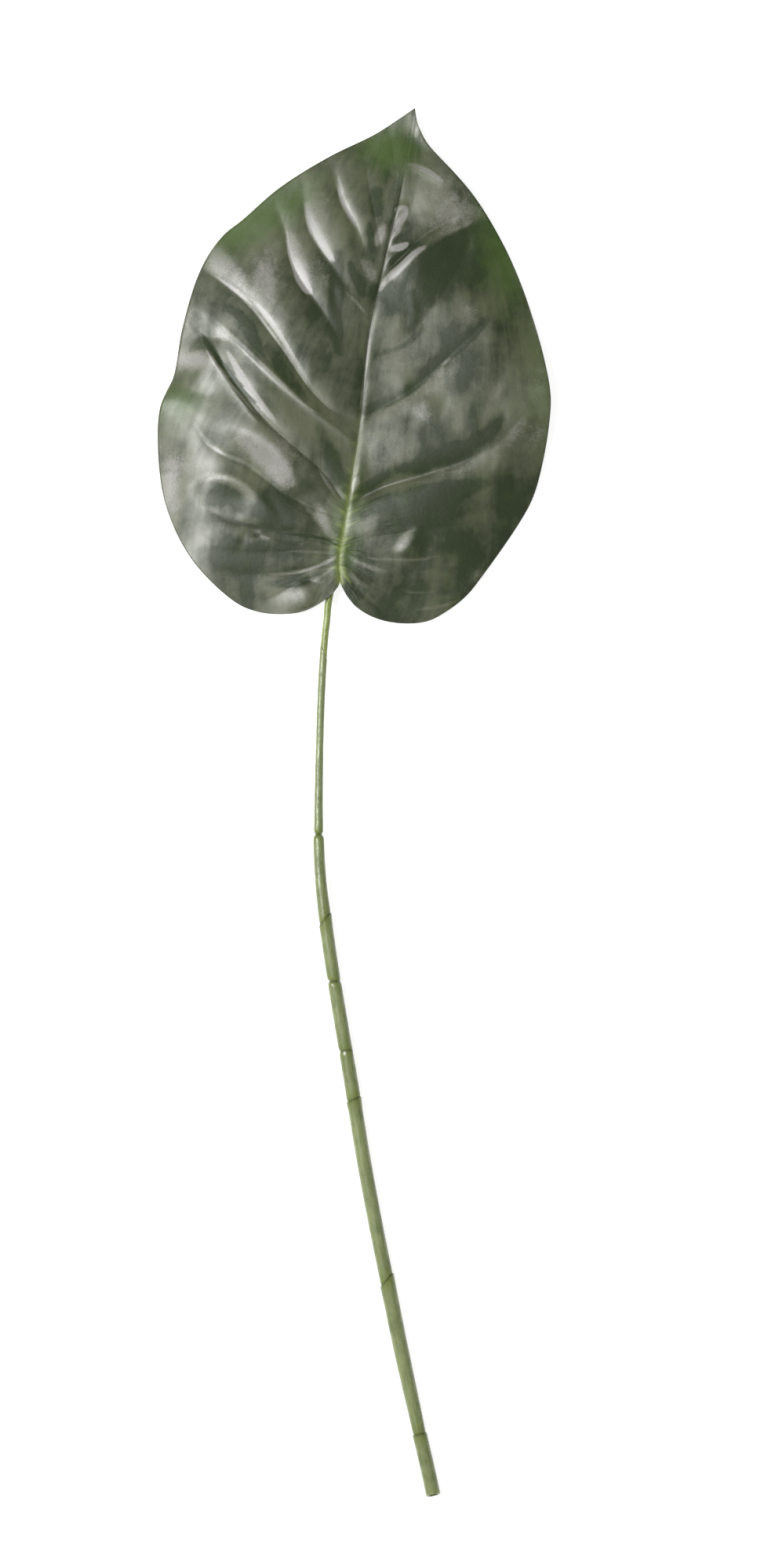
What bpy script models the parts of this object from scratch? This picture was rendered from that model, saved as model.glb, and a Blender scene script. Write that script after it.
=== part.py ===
"""Artificial hosta leaf lying face up: a pressed cloth blade, a moulded petiole and a jointed stem.

Metres, +Z up. The tip points along +Y and the cut end of the stem along -Y. The origin is below the
middle of the whole leaf, on the surface that it lies on.
"""

import math

import bmesh
import bpy
import numpy as np
from mathutils import Vector
from mathutils.geometry import delaunay_2d_cdt

COLLECTION_NAME = "hosta_leaf"
GAP = 0.0003
EPSILON = 1e-9

# Blade sheet
BLADE_THICKNESS = 0.0007
BLADE_CELL = 0.0046
LINE_SPACING = 0.0010
EDGE_SPACING = 0.0050

MIDRIB = (
    (-0.0066, 0.1112), (-0.0072, 0.1207), (-0.0042, 0.1404), (0.0033, 0.1909),
    (0.0076, 0.2335), (0.0147, 0.2686), (0.0242, 0.3092), (0.0309, 0.3498),
)
LEFT_EDGE = (
    (-0.0066, 0.1112), (-0.0094, 0.1065), (-0.0157, 0.1010), (-0.0255, 0.0962), (-0.0370, 0.0949),
    (-0.0484, 0.0962), (-0.0595, 0.1010), (-0.0811, 0.1223), (-0.0950, 0.1514), (-0.0987, 0.1830),
    (-0.0973, 0.1988), (-0.0942, 0.2067), (-0.0906, 0.2146), (-0.0859, 0.2402), (-0.0764, 0.2698),
    (-0.0658, 0.2855), (-0.0559, 0.2934), (-0.0378, 0.3092), (-0.0125, 0.3250), (0.0107, 0.3366),
    (0.0222, 0.3439), (0.0309, 0.3498),
)
RIGHT_EDGE = (
    (-0.0066, 0.1112), (-0.0011, 0.1010), (0.0044, 0.0962), (0.0135, 0.0921), (0.0253, 0.0903),
    (0.0372, 0.0915), (0.0470, 0.0966), (0.0565, 0.1041), (0.0648, 0.1144), (0.0837, 0.1416),
    (0.0904, 0.1542), (0.0951, 0.1712), (0.0983, 0.1909), (0.0989, 0.2047), (0.0959, 0.2224),
    (0.0896, 0.2461), (0.0817, 0.2682), (0.0731, 0.2855), (0.0604, 0.3053), (0.0372, 0.3319),
    (0.0340, 0.3376), (0.0320, 0.3427), (0.0309, 0.3498),
)

# Spot heights of the smooth form that the veins are pressed into: x, y, z
MIDRIB_SPOTS = (
    (-0.0066, 0.1112, 0.0120), (-0.0058, 0.1317, 0.0122), (-0.0027, 0.1514, 0.0125),
    (0.0033, 0.1909, 0.0128), (0.0076, 0.2335, 0.0128), (0.0147, 0.2686, 0.0120),
    (0.0210, 0.2966, 0.0105), (0.0269, 0.3230, 0.0080), (0.0309, 0.3498, 0.0070),
)
LEFT_CREST_SPOTS = (
    (-0.0299, 0.1317, 0.0135), (-0.0437, 0.1672, 0.0150), (-0.0417, 0.2067, 0.0165),
    (-0.0318, 0.2382, 0.0170), (-0.0200, 0.2737, 0.0150), (-0.0042, 0.3013, 0.0118),
    (-0.0713, 0.1475, 0.0130), (-0.0772, 0.1751, 0.0128), (-0.0733, 0.2067, 0.0125),
    (-0.0673, 0.2461, 0.0115), (-0.0555, 0.2737, 0.0105), (-0.0358, 0.2974, 0.0090),
    (-0.0590, 0.1240, 0.0130),
)
LEFT_EDGE_SPOTS = (
    (-0.0157, 0.1010, 0.0105), (-0.0370, 0.0951, 0.0085), (-0.0595, 0.1010, 0.0082),
    (-0.0811, 0.1223, 0.0100), (-0.0950, 0.1514, 0.0006), (-0.0987, 0.1830, 0.0010),
    (-0.0961, 0.2027, 0.0062), (-0.0906, 0.2146, 0.0040), (-0.0859, 0.2402, 0.0040),
    (-0.0764, 0.2698, 0.0045), (-0.0658, 0.2855, 0.0045), (-0.0559, 0.2934, 0.0055),
    (-0.0378, 0.3092, 0.0055), (-0.0125, 0.3250, 0.0060), (0.0107, 0.3368, 0.0050),
)
RIGHT_CREST_SPOTS = (
    (0.0194, 0.1278, 0.0112), (0.0250, 0.1600, 0.0138), (0.0431, 0.1672, 0.0136),
    (0.0431, 0.1988, 0.0136), (0.0451, 0.2382, 0.0130), (0.0300, 0.2740, 0.0124),
    (0.0431, 0.2720, 0.0100), (0.0372, 0.3013, 0.0110), (0.0549, 0.1278, 0.0072),
    (0.0746, 0.1672, 0.0100), (0.0806, 0.2067, 0.0125), (0.0727, 0.2461, 0.0110),
    (0.0589, 0.2816, 0.0072),
)
RIGHT_EDGE_SPOTS = (
    (-0.0011, 0.1010, 0.0105), (0.0135, 0.0923, 0.0075), (0.0253, 0.0903, 0.0060),
    (0.0470, 0.0966, 0.0045), (0.0648, 0.1144, 0.0025), (0.0837, 0.1416, -0.0002),
    (0.0951, 0.1712, 0.0050), (0.0989, 0.2047, 0.0108), (0.0959, 0.2224, 0.0098),
    (0.0896, 0.2461, 0.0025), (0.0817, 0.2682, 0.0008), (0.0731, 0.2855, 0.0040),
    (0.0604, 0.3053, 0.0085), (0.0486, 0.3206, 0.0095), (0.0372, 0.3321, 0.0060),
)
SPOT_HEIGHTS = MIDRIB_SPOTS + LEFT_CREST_SPOTS + LEFT_EDGE_SPOTS + RIGHT_CREST_SPOTS + RIGHT_EDGE_SPOTS
SPOT_RISE = 0.0006

# Midrib: a wide trough with a narrow groove along its bottom
MIDRIB_DEPTH = 0.0022
MIDRIB_LEFT_WIDTH = 0.0090
MIDRIB_RIGHT_WIDTH = 0.0090
MIDRIB_FADE = 0.4
GROOVE_DEPTH = 0.0008
GROOVE_WIDTH = 0.0011

# Veins: depth (negative for a raised one), widths of the banks on the stalk's and on the tip's side,
# start and end of the swell in half waves, route from the midrib to the edge
VEIN_FADE_IN = 0.0040
LEFT_VEINS = (
    (0.0008, 0.0050, 0.0050, 0.25, 1.00, ((-0.0070, 0.1175), (-0.0192, 0.1136), (-0.0524, 0.0974))),
    (0.0012, 0.0050, 0.0060, 0.25, 1.00, ((-0.0070, 0.1215), (-0.0180, 0.1195), (-0.0350, 0.1150),
                                          (-0.0744, 0.1156))),
    (0.0010, 0.0050, 0.0050, 0.25, 1.00, ((-0.0064, 0.1246), (-0.0161, 0.1266), (-0.0476, 0.1254),
                                          (-0.0843, 0.1266))),
    (0.0020, 0.0080, 0.0070, 0.25, 1.25, ((-0.0058, 0.1302), (-0.0180, 0.1345), (-0.0484, 0.1378),
                                          (-0.0744, 0.1479), (-0.0887, 0.1673), (-0.0987, 0.1771))),
    (0.0018, 0.0060, 0.0040, 0.10, 1.00, ((-0.0038, 0.1420), (-0.0200, 0.1483), (-0.0334, 0.1546),
                                          (-0.0437, 0.1625), (-0.0555, 0.1712), (-0.0650, 0.1751),
                                          (-0.0737, 0.1818), (-0.0804, 0.1909), (-0.0961, 0.2027))),
    (0.0024, 0.0022, 0.0034, 0.12, 1.00, ((-0.0031, 0.1491), (-0.0094, 0.1578), (-0.0170, 0.1678),
                                          (-0.0246, 0.1742), (-0.0362, 0.1840), (-0.0459, 0.1930),
                                          (-0.0566, 0.2062), (-0.0640, 0.2165), (-0.0713, 0.2315),
                                          (-0.0784, 0.2382))),
    (-0.0013, 0.0015, 0.0080, 0.10, 1.00, ((0.0013, 0.1791), (-0.0082, 0.1873), (-0.0184, 0.1948),
                                           (-0.0417, 0.2161), (-0.0610, 0.2343), (-0.0721, 0.2441),
                                           (-0.0831, 0.2520))),
    (0.0026, 0.0090, 0.0028, 0.10, 0.80, ((0.0036, 0.1940), (-0.0082, 0.1956), (-0.0204, 0.2059),
                                          (-0.0383, 0.2315), (-0.0553, 0.2532), (-0.0760, 0.2698))),
    (0.0030, 0.0080, 0.0070, -0.30, 1.00, ((0.0052, 0.2078), (-0.0117, 0.2402), (-0.0295, 0.2678),
                                           (-0.0350, 0.2887), (-0.0413, 0.3061))),
    (0.0028, 0.0080, 0.0060, -0.30, 1.00, ((0.0076, 0.2335), (-0.0023, 0.2571), (-0.0145, 0.2745),
                                           (-0.0220, 0.2887), (-0.0259, 0.3167))),
    (0.0022, 0.0070, 0.0040, -0.30, 1.00, ((0.0119, 0.2568), (0.0011, 0.2895), (-0.0058, 0.3029),
                                           (-0.0121, 0.3254))),
    (0.0008, 0.0060, 0.0060, 0.25, 1.00, ((0.0155, 0.2717), (0.0092, 0.3013), (0.0044, 0.3337))),
    (0.0006, 0.0050, 0.0050, 0.25, 1.00, ((0.0226, 0.3029), (0.0182, 0.3412))),
)
RIGHT_VEINS = (
    (0.0008, 0.0050, 0.0050, 0.25, 1.00, ((-0.0070, 0.1175), (0.0029, 0.1061), (0.0242, 0.0903))),
    (0.0010, 0.0050, 0.0050, 0.25, 1.00, ((-0.0070, 0.1203), (0.0036, 0.1167), (0.0147, 0.1096),
                                          (0.0234, 0.1069), (0.0581, 0.1057))),
    (0.0008, 0.0050, 0.0050, 0.25, 1.00, ((-0.0066, 0.1231), (-0.0023, 0.1254), (0.0182, 0.1231),
                                          (0.0715, 0.1242))),
    (0.0010, 0.0060, 0.0060, 0.25, 1.00, ((-0.0058, 0.1290), (0.0056, 0.1325), (0.0470, 0.1388),
                                          (0.0841, 0.1424))),
    (0.0042, 0.0045, 0.0075, 0.30, 1.40, ((-0.0030, 0.1500), (0.0056, 0.1543), (0.0155, 0.1589),
                                          (0.0379, 0.1654), (0.0589, 0.1732), (0.0679, 0.1788),
                                          (0.0745, 0.1843), (0.0812, 0.1954), (0.0948, 0.2268))),
    (0.0022, 0.0050, 0.0110, 0.20, 1.00, ((0.0025, 0.1889), (0.0096, 0.1956), (0.0285, 0.2067),
                                          (0.0486, 0.2240), (0.0675, 0.2430), (0.0794, 0.2737))),
    (0.0012, 0.0070, 0.0100, 0.20, 1.00, ((0.0060, 0.2165), (0.0135, 0.2252), (0.0273, 0.2335),
                                          (0.0510, 0.2658), (0.0648, 0.2986))),
    (0.0022, 0.0030, 0.0040, 0.40, 1.00, ((0.0141, 0.2645), (0.0182, 0.2685), (0.0230, 0.2727),
                                          (0.0291, 0.2788), (0.0340, 0.2837), (0.0415, 0.2887),
                                          (0.0508, 0.2938), (0.0620, 0.3033))),
    (0.0006, 0.0050, 0.0060, 0.25, 1.00, ((0.0163, 0.2769), (0.0289, 0.2982), (0.0352, 0.3345))),
    (0.0008, 0.0050, 0.0050, 0.25, 1.00, ((0.0234, 0.3061), (0.0324, 0.3416))),
)

# Raised folds: height, sharpness (1 for a crease, 2 for a soft one), widths left and right of the route
FOLDS = (
    (0.0014, 1.0, 0.0030, 0.0015, ((-0.0764, 0.2340), (-0.0740, 0.2280), (-0.0662, 0.2157),
                                   (-0.0585, 0.2047), (-0.0474, 0.1913), (-0.0372, 0.1830))),
    (0.0028, 2.0, 0.0080, 0.0070, ((-0.0729, 0.2335), (-0.0740, 0.2205), (-0.0784, 0.2067))),
    (0.0034, 2.0, 0.0220, 0.0075, ((-0.0744, 0.1945), (-0.0620, 0.1905), (-0.0476, 0.1840),
                                   (-0.0362, 0.1760), (-0.0285, 0.1650), (-0.0250, 0.1540))),
    (0.0012, 1.3, 0.0025, 0.0060, ((-0.0784, 0.1546), (-0.0744, 0.1609), (-0.0662, 0.1637),
                                   (-0.0559, 0.1605), (-0.0453, 0.1514), (-0.0389, 0.1428))),
    (0.0016, 2.0, 0.0050, 0.0080, ((-0.0216, 0.1112), (-0.0232, 0.1025), (-0.0247, 0.0947))),
    (0.0010, 1.5, 0.0040, 0.0030, ((0.0301, 0.3486), (0.0324, 0.3408), (0.0352, 0.3337),
                                   (0.0399, 0.3281))),
    (0.0020, 1.5, 0.0030, 0.0180, ((0.0131, 0.2567), (0.0206, 0.2666), (0.0291, 0.2741),
                                   (0.0352, 0.2800), (0.0439, 0.2851), (0.0560, 0.2890))),
    (0.0010, 1.5, 0.0022, 0.0020, ((0.0151, 0.2682), (0.0194, 0.2745), (0.0242, 0.2777),
                                   (0.0305, 0.2808))),
    (0.0009, 1.5, 0.0022, 0.0022, ((0.0171, 0.2792), (0.0198, 0.2848), (0.0234, 0.2887),
                                   (0.0273, 0.2919))),
    (0.0009, 1.5, 0.0022, 0.0022, ((0.0198, 0.2915), (0.0214, 0.2966), (0.0242, 0.2990),
                                   (0.0281, 0.3001))),
    (0.0015, 1.5, 0.0034, 0.0040, ((0.0226, 0.1234), (0.0285, 0.1298), (0.0336, 0.1396))),
    (0.0009, 1.5, 0.0030, 0.0040, ((0.0573, 0.1073), (0.0628, 0.1144), (0.0675, 0.1231))),
)

# Soft bumps and hollows: x, y, radius, height
BUMPS = (
    (0.0372, 0.1988, 0.0050, 0.0009),
    (-0.0595, 0.1514, 0.0098, -0.0018),
    (0.0025, 0.1672, 0.0057, 0.0008),
)

# Stalk: one centre line from the rib's tip to the stem's cut end, seen from above
RIB_LINE = (
    (0.0175, 0.2828), (0.0147, 0.2686), (0.0111, 0.2528), (0.0076, 0.2335), (0.0060, 0.2157),
    (0.0033, 0.1909), (-0.0011, 0.1664), (-0.0042, 0.1404), (-0.0058, 0.1286),
)
STALK_LINE = (
    (-0.0068, 0.1223), (-0.0082, 0.1167), (-0.0102, 0.1112), (-0.0117, 0.1057), (-0.0128, 0.0994),
    (-0.0134, 0.0923), (-0.0143, 0.0844), (-0.0150, 0.0757),
)
STEM_LINE = (
    (-0.0159, 0.0615), (-0.0167, 0.0410), (-0.0173, 0.0174), (-0.0176, -0.0063), (-0.0175, -0.0205),
    (-0.0165, -0.0394), (-0.0141, -0.0599), (-0.0107, -0.0836), (-0.0066, -0.1089), (-0.0013, -0.1404),
    (0.0044, -0.1759), (0.0109, -0.2114), (0.0173, -0.2430), (0.0242, -0.2769),
)
FLAT_LINE = ((0.0315, -0.3100), (0.0332, -0.3179), (0.0369, -0.3338), (0.0402, -0.3490))
STEM_TOP_HEIGHT = 0.0080
STEM_SETTLE = 1.1
SIDES = 16
RING_SPACING = 0.0125

# Petiole and rib
RIB_TIP_RADIUS = 0.0007
RIB_BASE_RADIUS = 0.0016
RIB_GAP = 0.0007
PETIOLE_RADIUS = 0.00178
PETIOLE_LENGTH = 0.0500
PLUG_RADIUS = 0.0010
PLUG_LENGTH = 0.0100

# Stem, with distances along it from its slanted mouth
SOCKET_DEPTH = 0.0110
MOUTH_SLANT = -0.0071
SLANT_REACH = 0.0080
STEP_HALF = 0.0002
WAIST_HALF = 0.0015
WAIST_SHOULDER = 0.4
NECK_SHARE = 0.35
HOLLOW_DEPTH = 0.0030
HOLLOW_WALL = 0.0011
STEM_SEGMENTS = (
    ((0.0000, 0.00195), (0.0450, 0.00190), (0.0770, 0.00215), (0.0917, 0.00240)),
    ((0.0917, 0.00270), (0.1140, 0.00285), (0.1345, 0.00320)),
    ((0.1345, 0.00350), (0.1400, 0.00335), (0.1661, 0.00330)),
    ((0.1661, 0.00340), (0.2016, 0.00350)),
    ((0.2016, 0.00350), (0.2265, 0.00360)),
    ((0.2265, 0.00390), (0.2330, 0.00360), (0.3190, 0.00355)),
    ((0.3190, 0.00400), (0.3330, 0.00385), (0.3600, 0.00375), (0.3985, 0.00330)),
    ((0.3985, 0.00365), (0.4299, 0.00365)),
)
# Joints between the segments: neck radius of a waist (0 for a stepped lip) and slant across the stem
STEM_JOINTS = (
    (0.00160, 0.0000),
    (0.00000, 0.0060),
    (0.00270, -0.0010),
    (0.00310, 0.0000),
    (0.00000, 0.0020),
    (0.00000, 0.0058),
    (0.00000, 0.0000),
)

MATERIALS = {
    "leaf_blade": ((0.060, 0.080, 0.042), 0.38),
    "petiole": ((0.235, 0.300, 0.085), 0.35),
    "stem": ((0.205, 0.255, 0.110), 0.38),
}


def clear_scene():
    for item in list(bpy.data.objects):
        bpy.data.objects.remove(item, do_unlink=True)


def make_material(name):
    colour, roughness = MATERIALS[name]
    material = bpy.data.materials.new(name)
    material.use_nodes = True
    shader = material.node_tree.nodes["Principled BSDF"]
    shader.inputs["Base Color"].default_value = (*colour, 1.0)
    shader.inputs["Roughness"].default_value = roughness
    shader.inputs["Metallic"].default_value = 0.0
    return material


def add_object(name, mesh, collection):
    mesh.name = name
    mesh.materials.clear()
    mesh.materials.append(make_material(name))
    mesh.shade_smooth()
    item = bpy.data.objects.new(name, mesh)
    collection.objects.link(item)
    return item


def smooth_curve(points, spacing):
    """Evenly spaced points on a cubic curve through the given points."""
    points = np.array(points, dtype=float)
    steps = np.sqrt(np.linalg.norm(np.diff(points, axis=0), axis=1))
    knots = np.concatenate(([0.0], np.cumsum(steps)))
    slopes = np.gradient(points, knots, axis=0)
    fine = np.linspace(0.0, knots[-1], 40 * len(points))
    span = np.clip(np.searchsorted(knots, fine, side="right") - 1, 0, len(steps) - 1)
    width = steps[span][:, None]
    t = (fine[:, None] - knots[span][:, None]) / width
    start, end = points[span], points[span + 1]
    curve = (
        (2 * t**3 - 3 * t**2 + 1) * start
        + (t**3 - 2 * t**2 + t) * width * slopes[span]
        + (3 * t**2 - 2 * t**3) * end
        + (t**3 - t**2) * width * slopes[span + 1]
    )
    along = np.concatenate(([0.0], np.cumsum(np.linalg.norm(np.diff(curve, axis=0), axis=1))))
    count = max(2, int(round(along[-1] / spacing)) + 1)
    places = np.linspace(0.0, along[-1], count)
    return np.column_stack([np.interp(places, along, column) for column in curve.T])


def line_distance(points, line):
    """Distance of each point from a line, its side (+1 on the left) and how far along it lies, 0 to 1."""
    start, step = line[:-1], np.diff(line, axis=0)
    offset = points[:, None, :] - start[None, :, :]
    share = np.clip((offset * step).sum(2) / (step**2).sum(1), 0.0, 1.0)
    away = offset - share[:, :, None] * step
    distance = np.linalg.norm(away, axis=2)
    nearest = distance.argmin(1)
    rows = np.arange(len(points))
    side = step[nearest, 0] * offset[rows, nearest, 1] - step[nearest, 1] * offset[rows, nearest, 0]
    along = (nearest + share[rows, nearest]) / len(step)
    return distance[rows, nearest], np.where(side >= 0.0, 1.0, -1.0), along


def spline_kernel(points, spots):
    squared = ((points[:, None, :] - spots[None, :, :]) ** 2).sum(2)
    return 0.5 * squared * np.log(squared + EPSILON)


def spline_weights(spots):
    """Weights of the thin plate spline that takes the spot heights."""
    plan, heights = spots[:, :2], spots[:, 2]
    count = len(heights)
    flat = np.column_stack((np.ones(count), plan))
    matrix = np.zeros((count + 3, count + 3))
    matrix[:count, :count] = spline_kernel(plan, plan)
    matrix[:count, count:] = flat
    matrix[count:, :count] = flat.T
    return np.linalg.solve(matrix, np.append(heights, (0.0, 0.0, 0.0)))


def blade_height(points):
    """Height of the middle of the sheet: the smooth form with midrib, veins, folds and bumps pressed in."""
    spots = np.array(SPOT_HEIGHTS)
    weights = spline_weights(spots)
    count = len(spots)
    flat = np.column_stack((np.ones(len(points)), points))
    height = spline_kernel(points, spots[:, :2]) @ weights[:count] + flat @ weights[count:]
    from_midrib, side, along = line_distance(points, smooth_curve(MIDRIB, LINE_SPACING))
    trough = np.exp(-from_midrib / np.where(side > 0.0, MIDRIB_LEFT_WIDTH, MIDRIB_RIGHT_WIDTH))
    height -= MIDRIB_DEPTH * np.cos(MIDRIB_FADE * math.pi * along) * trough
    height -= GROOVE_DEPTH * np.exp(-from_midrib / GROOVE_WIDTH)
    for own_side, veins in ((1.0, LEFT_VEINS), (-1.0, RIGHT_VEINS)):
        fade = np.where(side == own_side, 1.0 - np.exp(-((from_midrib / VEIN_FADE_IN) ** 2)), 0.0)
        for depth, stalk_width, tip_width, begin, end, route in veins:
            distance, bank, along = line_distance(points, smooth_curve(route, LINE_SPACING))
            width = np.where(bank == own_side, stalk_width, tip_width)
            swell = np.maximum(np.sin(math.pi * (begin + (end - begin) * along)), 0.0)
            height -= depth * fade * swell * np.exp(-distance / width)
    for rise, sharpness, left_width, right_width, route in FOLDS:
        distance, bank, along = line_distance(points, smooth_curve(route, LINE_SPACING))
        width = np.where(bank > 0.0, left_width, right_width)
        height += rise * np.sin(math.pi * along) * np.exp(-((distance / width) ** sharpness))
    for x, y, radius, rise in BUMPS:
        height += rise * np.exp(-((points - (x, y)) ** 2).sum(1) / radius**2)
    return height + SPOT_RISE


def spread_points(fixed, candidates, spacing):
    """Add each candidate point that is at least the spacing away from every point so far."""
    kept = list(fixed)
    for point in candidates:
        if np.linalg.norm(np.array(kept) - point, axis=1).min() >= spacing:
            kept.append(point)
    return kept


def blade_plan():
    """Outline loop and inner points of the sheet seen from above, with points along every pressed line."""
    left = smooth_curve(LEFT_EDGE, EDGE_SPACING)
    right = smooth_curve(RIGHT_EDGE, EDGE_SPACING)
    loop = list(right) + list(left[-2:0:-1])
    kept = spread_points(loop, smooth_curve(MIDRIB, BLADE_CELL), 0.5 * BLADE_CELL)
    lines = [(abs(line[0]), line[-1]) for line in LEFT_VEINS + RIGHT_VEINS + FOLDS]
    for _, route in sorted(lines, key=lambda line: -line[0]):
        kept = spread_points(kept, smooth_curve(route, BLADE_CELL), 0.6 * BLADE_CELL)
    low, high = np.min(loop, axis=0), np.max(loop, axis=0)
    row_step = BLADE_CELL * math.sqrt(0.75)
    grid = []
    for row in range(int((high[1] - low[1]) / row_step)):
        xs = np.arange(low[0] + 0.5 * BLADE_CELL * (row % 2), high[0], BLADE_CELL)
        grid.extend(np.column_stack((xs, np.full(len(xs), low[1] + row * row_step))))
    return len(loop), spread_points(kept, grid, 0.75 * BLADE_CELL)


def make_blade(collection):
    loop_count, plan = blade_plan()
    vectors = [Vector(point) for point in plan]
    outline = list(range(loop_count))
    inside_faces = 1
    verts, _, faces, _, _, _ = delaunay_2d_cdt(vectors, [], [outline], inside_faces, 1e-6)
    plan = np.array(verts)
    mesh = bpy.data.meshes.new("leaf_blade")
    mesh.from_pydata(np.column_stack((plan, blade_height(plan))).tolist(), [], faces)
    cage = bmesh.new()
    cage.from_mesh(mesh)
    loose = [vert for vert in cage.verts if not vert.link_faces]
    bmesh.ops.delete(cage, geom=loose, context="VERTS")
    bmesh.ops.recalc_face_normals(cage, faces=cage.faces[:])
    if sum(face.normal.z for face in cage.faces) < 0.0:
        bmesh.ops.reverse_faces(cage, faces=cage.faces[:])
    cage.to_mesh(mesh)
    cage.free()
    blade = add_object("leaf_blade", mesh, collection)
    wall = blade.modifiers.new("sheet", "SOLIDIFY")
    wall.thickness = BLADE_THICKNESS
    wall.offset = 0.0
    return blade


def stalk_route():
    """Centre line of rib, petiole and stem in space, and the distance along it of the stem's mouth."""
    rib_plan = np.array(RIB_LINE)
    share = np.linspace(0.0, 1.0, len(rib_plan))
    radius = RIB_TIP_RADIUS + (RIB_BASE_RADIUS - RIB_TIP_RADIUS) * share
    midrib = smooth_curve(MIDRIB, LINE_SPACING)
    above = midrib[np.linalg.norm(rib_plan[:, None] - midrib, axis=2).argmin(1)]
    rib_height = blade_height(above) - 0.5 * BLADE_THICKNESS - RIB_GAP - radius
    end_height = STEM_SEGMENTS[-1][0][1] * math.cos(math.pi / SIDES)
    stalk_plan = np.array(STALK_LINE)
    share = np.linspace(0.0, 1.0, len(stalk_plan) + 1)[1:]
    stalk_height = rib_height[-1] + (STEM_TOP_HEIGHT - rib_height[-1]) * share
    stem_plan = np.array(STEM_LINE)
    reach = stalk_plan[-1, 1] - FLAT_LINE[0][1]
    left = (stem_plan[:, 1] - FLAT_LINE[0][1]) / reach
    stem_height = end_height + (STEM_TOP_HEIGHT - end_height) * left**STEM_SETTLE
    flat_plan = np.array(FLAT_LINE)
    plan = np.vstack((rib_plan, stalk_plan, stem_plan, flat_plan))
    height = np.concatenate((rib_height, stalk_height, stem_height, np.full(len(flat_plan), end_height)))
    route = smooth_curve(np.column_stack((plan, height)), LINE_SPACING)
    mouth = np.append(stalk_plan[-1], STEM_TOP_HEIGHT)
    return route, LINE_SPACING * np.linalg.norm(route - mouth, axis=1).argmin()


def bend(mesh, route, mouth):
    """Carry a straight turning that hangs below the mouth's level along the route instead."""
    step = np.linalg.norm(np.diff(route, axis=0), axis=1)
    along = np.concatenate(([0.0], np.cumsum(step))) - mouth
    ahead = np.gradient(route, along, axis=0)
    points = np.empty(len(mesh.vertices) * 3)
    mesh.vertices.foreach_get("co", points)
    points = points.reshape(-1, 3)
    place = -points[:, 2]
    centre = np.column_stack([np.interp(place, along, column) for column in route.T])
    forward = np.column_stack([np.interp(place, along, column) for column in ahead.T])
    beyond = np.maximum(place - along[-1], 0.0)[:, None]
    forward /= np.linalg.norm(forward, axis=1)[:, None]
    right = np.cross((0.0, 0.0, 1.0), forward)
    right /= np.linalg.norm(right, axis=1)[:, None]
    down = np.cross(right, forward)
    bent = centre + beyond * forward + points[:, :1] * right + points[:, 1:2] * down
    mesh.vertices.foreach_set("co", bent.ravel())


def turn(name, profile):
    """Closed turning of a profile of (distance below the mouth, radius), as a plain mesh."""
    mesh = bpy.data.meshes.new(name)
    verts = [(radius, 0.0, -place) for place, radius in profile]
    mesh.from_pydata(verts, [(index, index + 1) for index in range(len(verts) - 1)], [])
    item = bpy.data.objects.new(name, mesh)
    bpy.context.scene.collection.objects.link(item)
    screw = item.modifiers.new("turned", "SCREW")
    screw.angle = 2.0 * math.pi
    screw.steps = SIDES
    screw.render_steps = SIDES
    screw.use_merge_vertices = True
    screw.merge_threshold = 0.00001
    graph = bpy.context.evaluated_depsgraph_get()
    turned = bpy.data.meshes.new_from_object(item.evaluated_get(graph))
    bpy.data.objects.remove(item, do_unlink=True)
    bpy.data.meshes.remove(mesh)
    cage = bmesh.new()
    cage.from_mesh(turned)
    half_side = math.pi / SIDES
    for vert in cage.verts:
        x, y = vert.co.x, vert.co.y
        vert.co.x = x * math.cos(half_side) - y * math.sin(half_side)
        vert.co.y = x * math.sin(half_side) + y * math.cos(half_side)
    cage.to_mesh(turned)
    cage.free()
    return turned


def slant(mesh, centre, amount, radius):
    """Tip the rings near a place, so that one side of them moves up the stalk and the other down."""
    points = np.empty(len(mesh.vertices) * 3)
    mesh.vertices.foreach_get("co", points)
    points = points.reshape(-1, 3)
    near = np.exp(-(((-points[:, 2] - centre) / SLANT_REACH) ** 2))
    points[:, 2] -= 0.5 * amount * points[:, 0] / radius * near
    mesh.vertices.foreach_set("co", points.ravel())


def stations(segment):
    """Rings along one segment, close enough together for it to bend smoothly."""
    rings = []
    for (start, start_radius), (end, end_radius) in zip(segment, segment[1:]):
        count = max(1, math.ceil((end - start) / RING_SPACING))
        for index in range(count):
            share = index / count
            rings.append((start + share * (end - start), start_radius + share * (end_radius - start_radius)))
    return rings + [segment[-1]]


def shoulder_radius(neck, radius):
    return NECK_SHARE * neck + (1.0 - NECK_SHARE) * radius


def stem_profile():
    socket = PLUG_RADIUS + GAP
    rings = [(SOCKET_DEPTH, 0.0), (SOCKET_DEPTH, socket), (0.5 * SOCKET_DEPTH, socket), (0.0, socket)]
    for index, segment in enumerate(STEM_SEGMENTS):
        inner = stations(segment)
        if index > 0:
            neck = STEM_JOINTS[index - 1][0]
            joint, radius = inner[0]
            inner[0] = (joint + (WAIST_HALF if neck else STEP_HALF), radius)
            if neck:
                rings.append((joint, neck))
                inner.insert(0, (joint + WAIST_SHOULDER * WAIST_HALF, shoulder_radius(neck, radius)))
        if index < len(STEM_JOINTS):
            neck = STEM_JOINTS[index][0]
            joint, radius = inner[-1]
            inner[-1] = (joint - (WAIST_HALF if neck else STEP_HALF), radius)
            if neck:
                inner.append((joint - WAIST_SHOULDER * WAIST_HALF, shoulder_radius(neck, radius)))
        rings.extend(inner)
    end, radius = STEM_SEGMENTS[-1][-1]
    hollow = radius - HOLLOW_WALL
    return rings + [(end, hollow), (end - HOLLOW_DEPTH, hollow), (end - HOLLOW_DEPTH, 0.0)]


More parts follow.
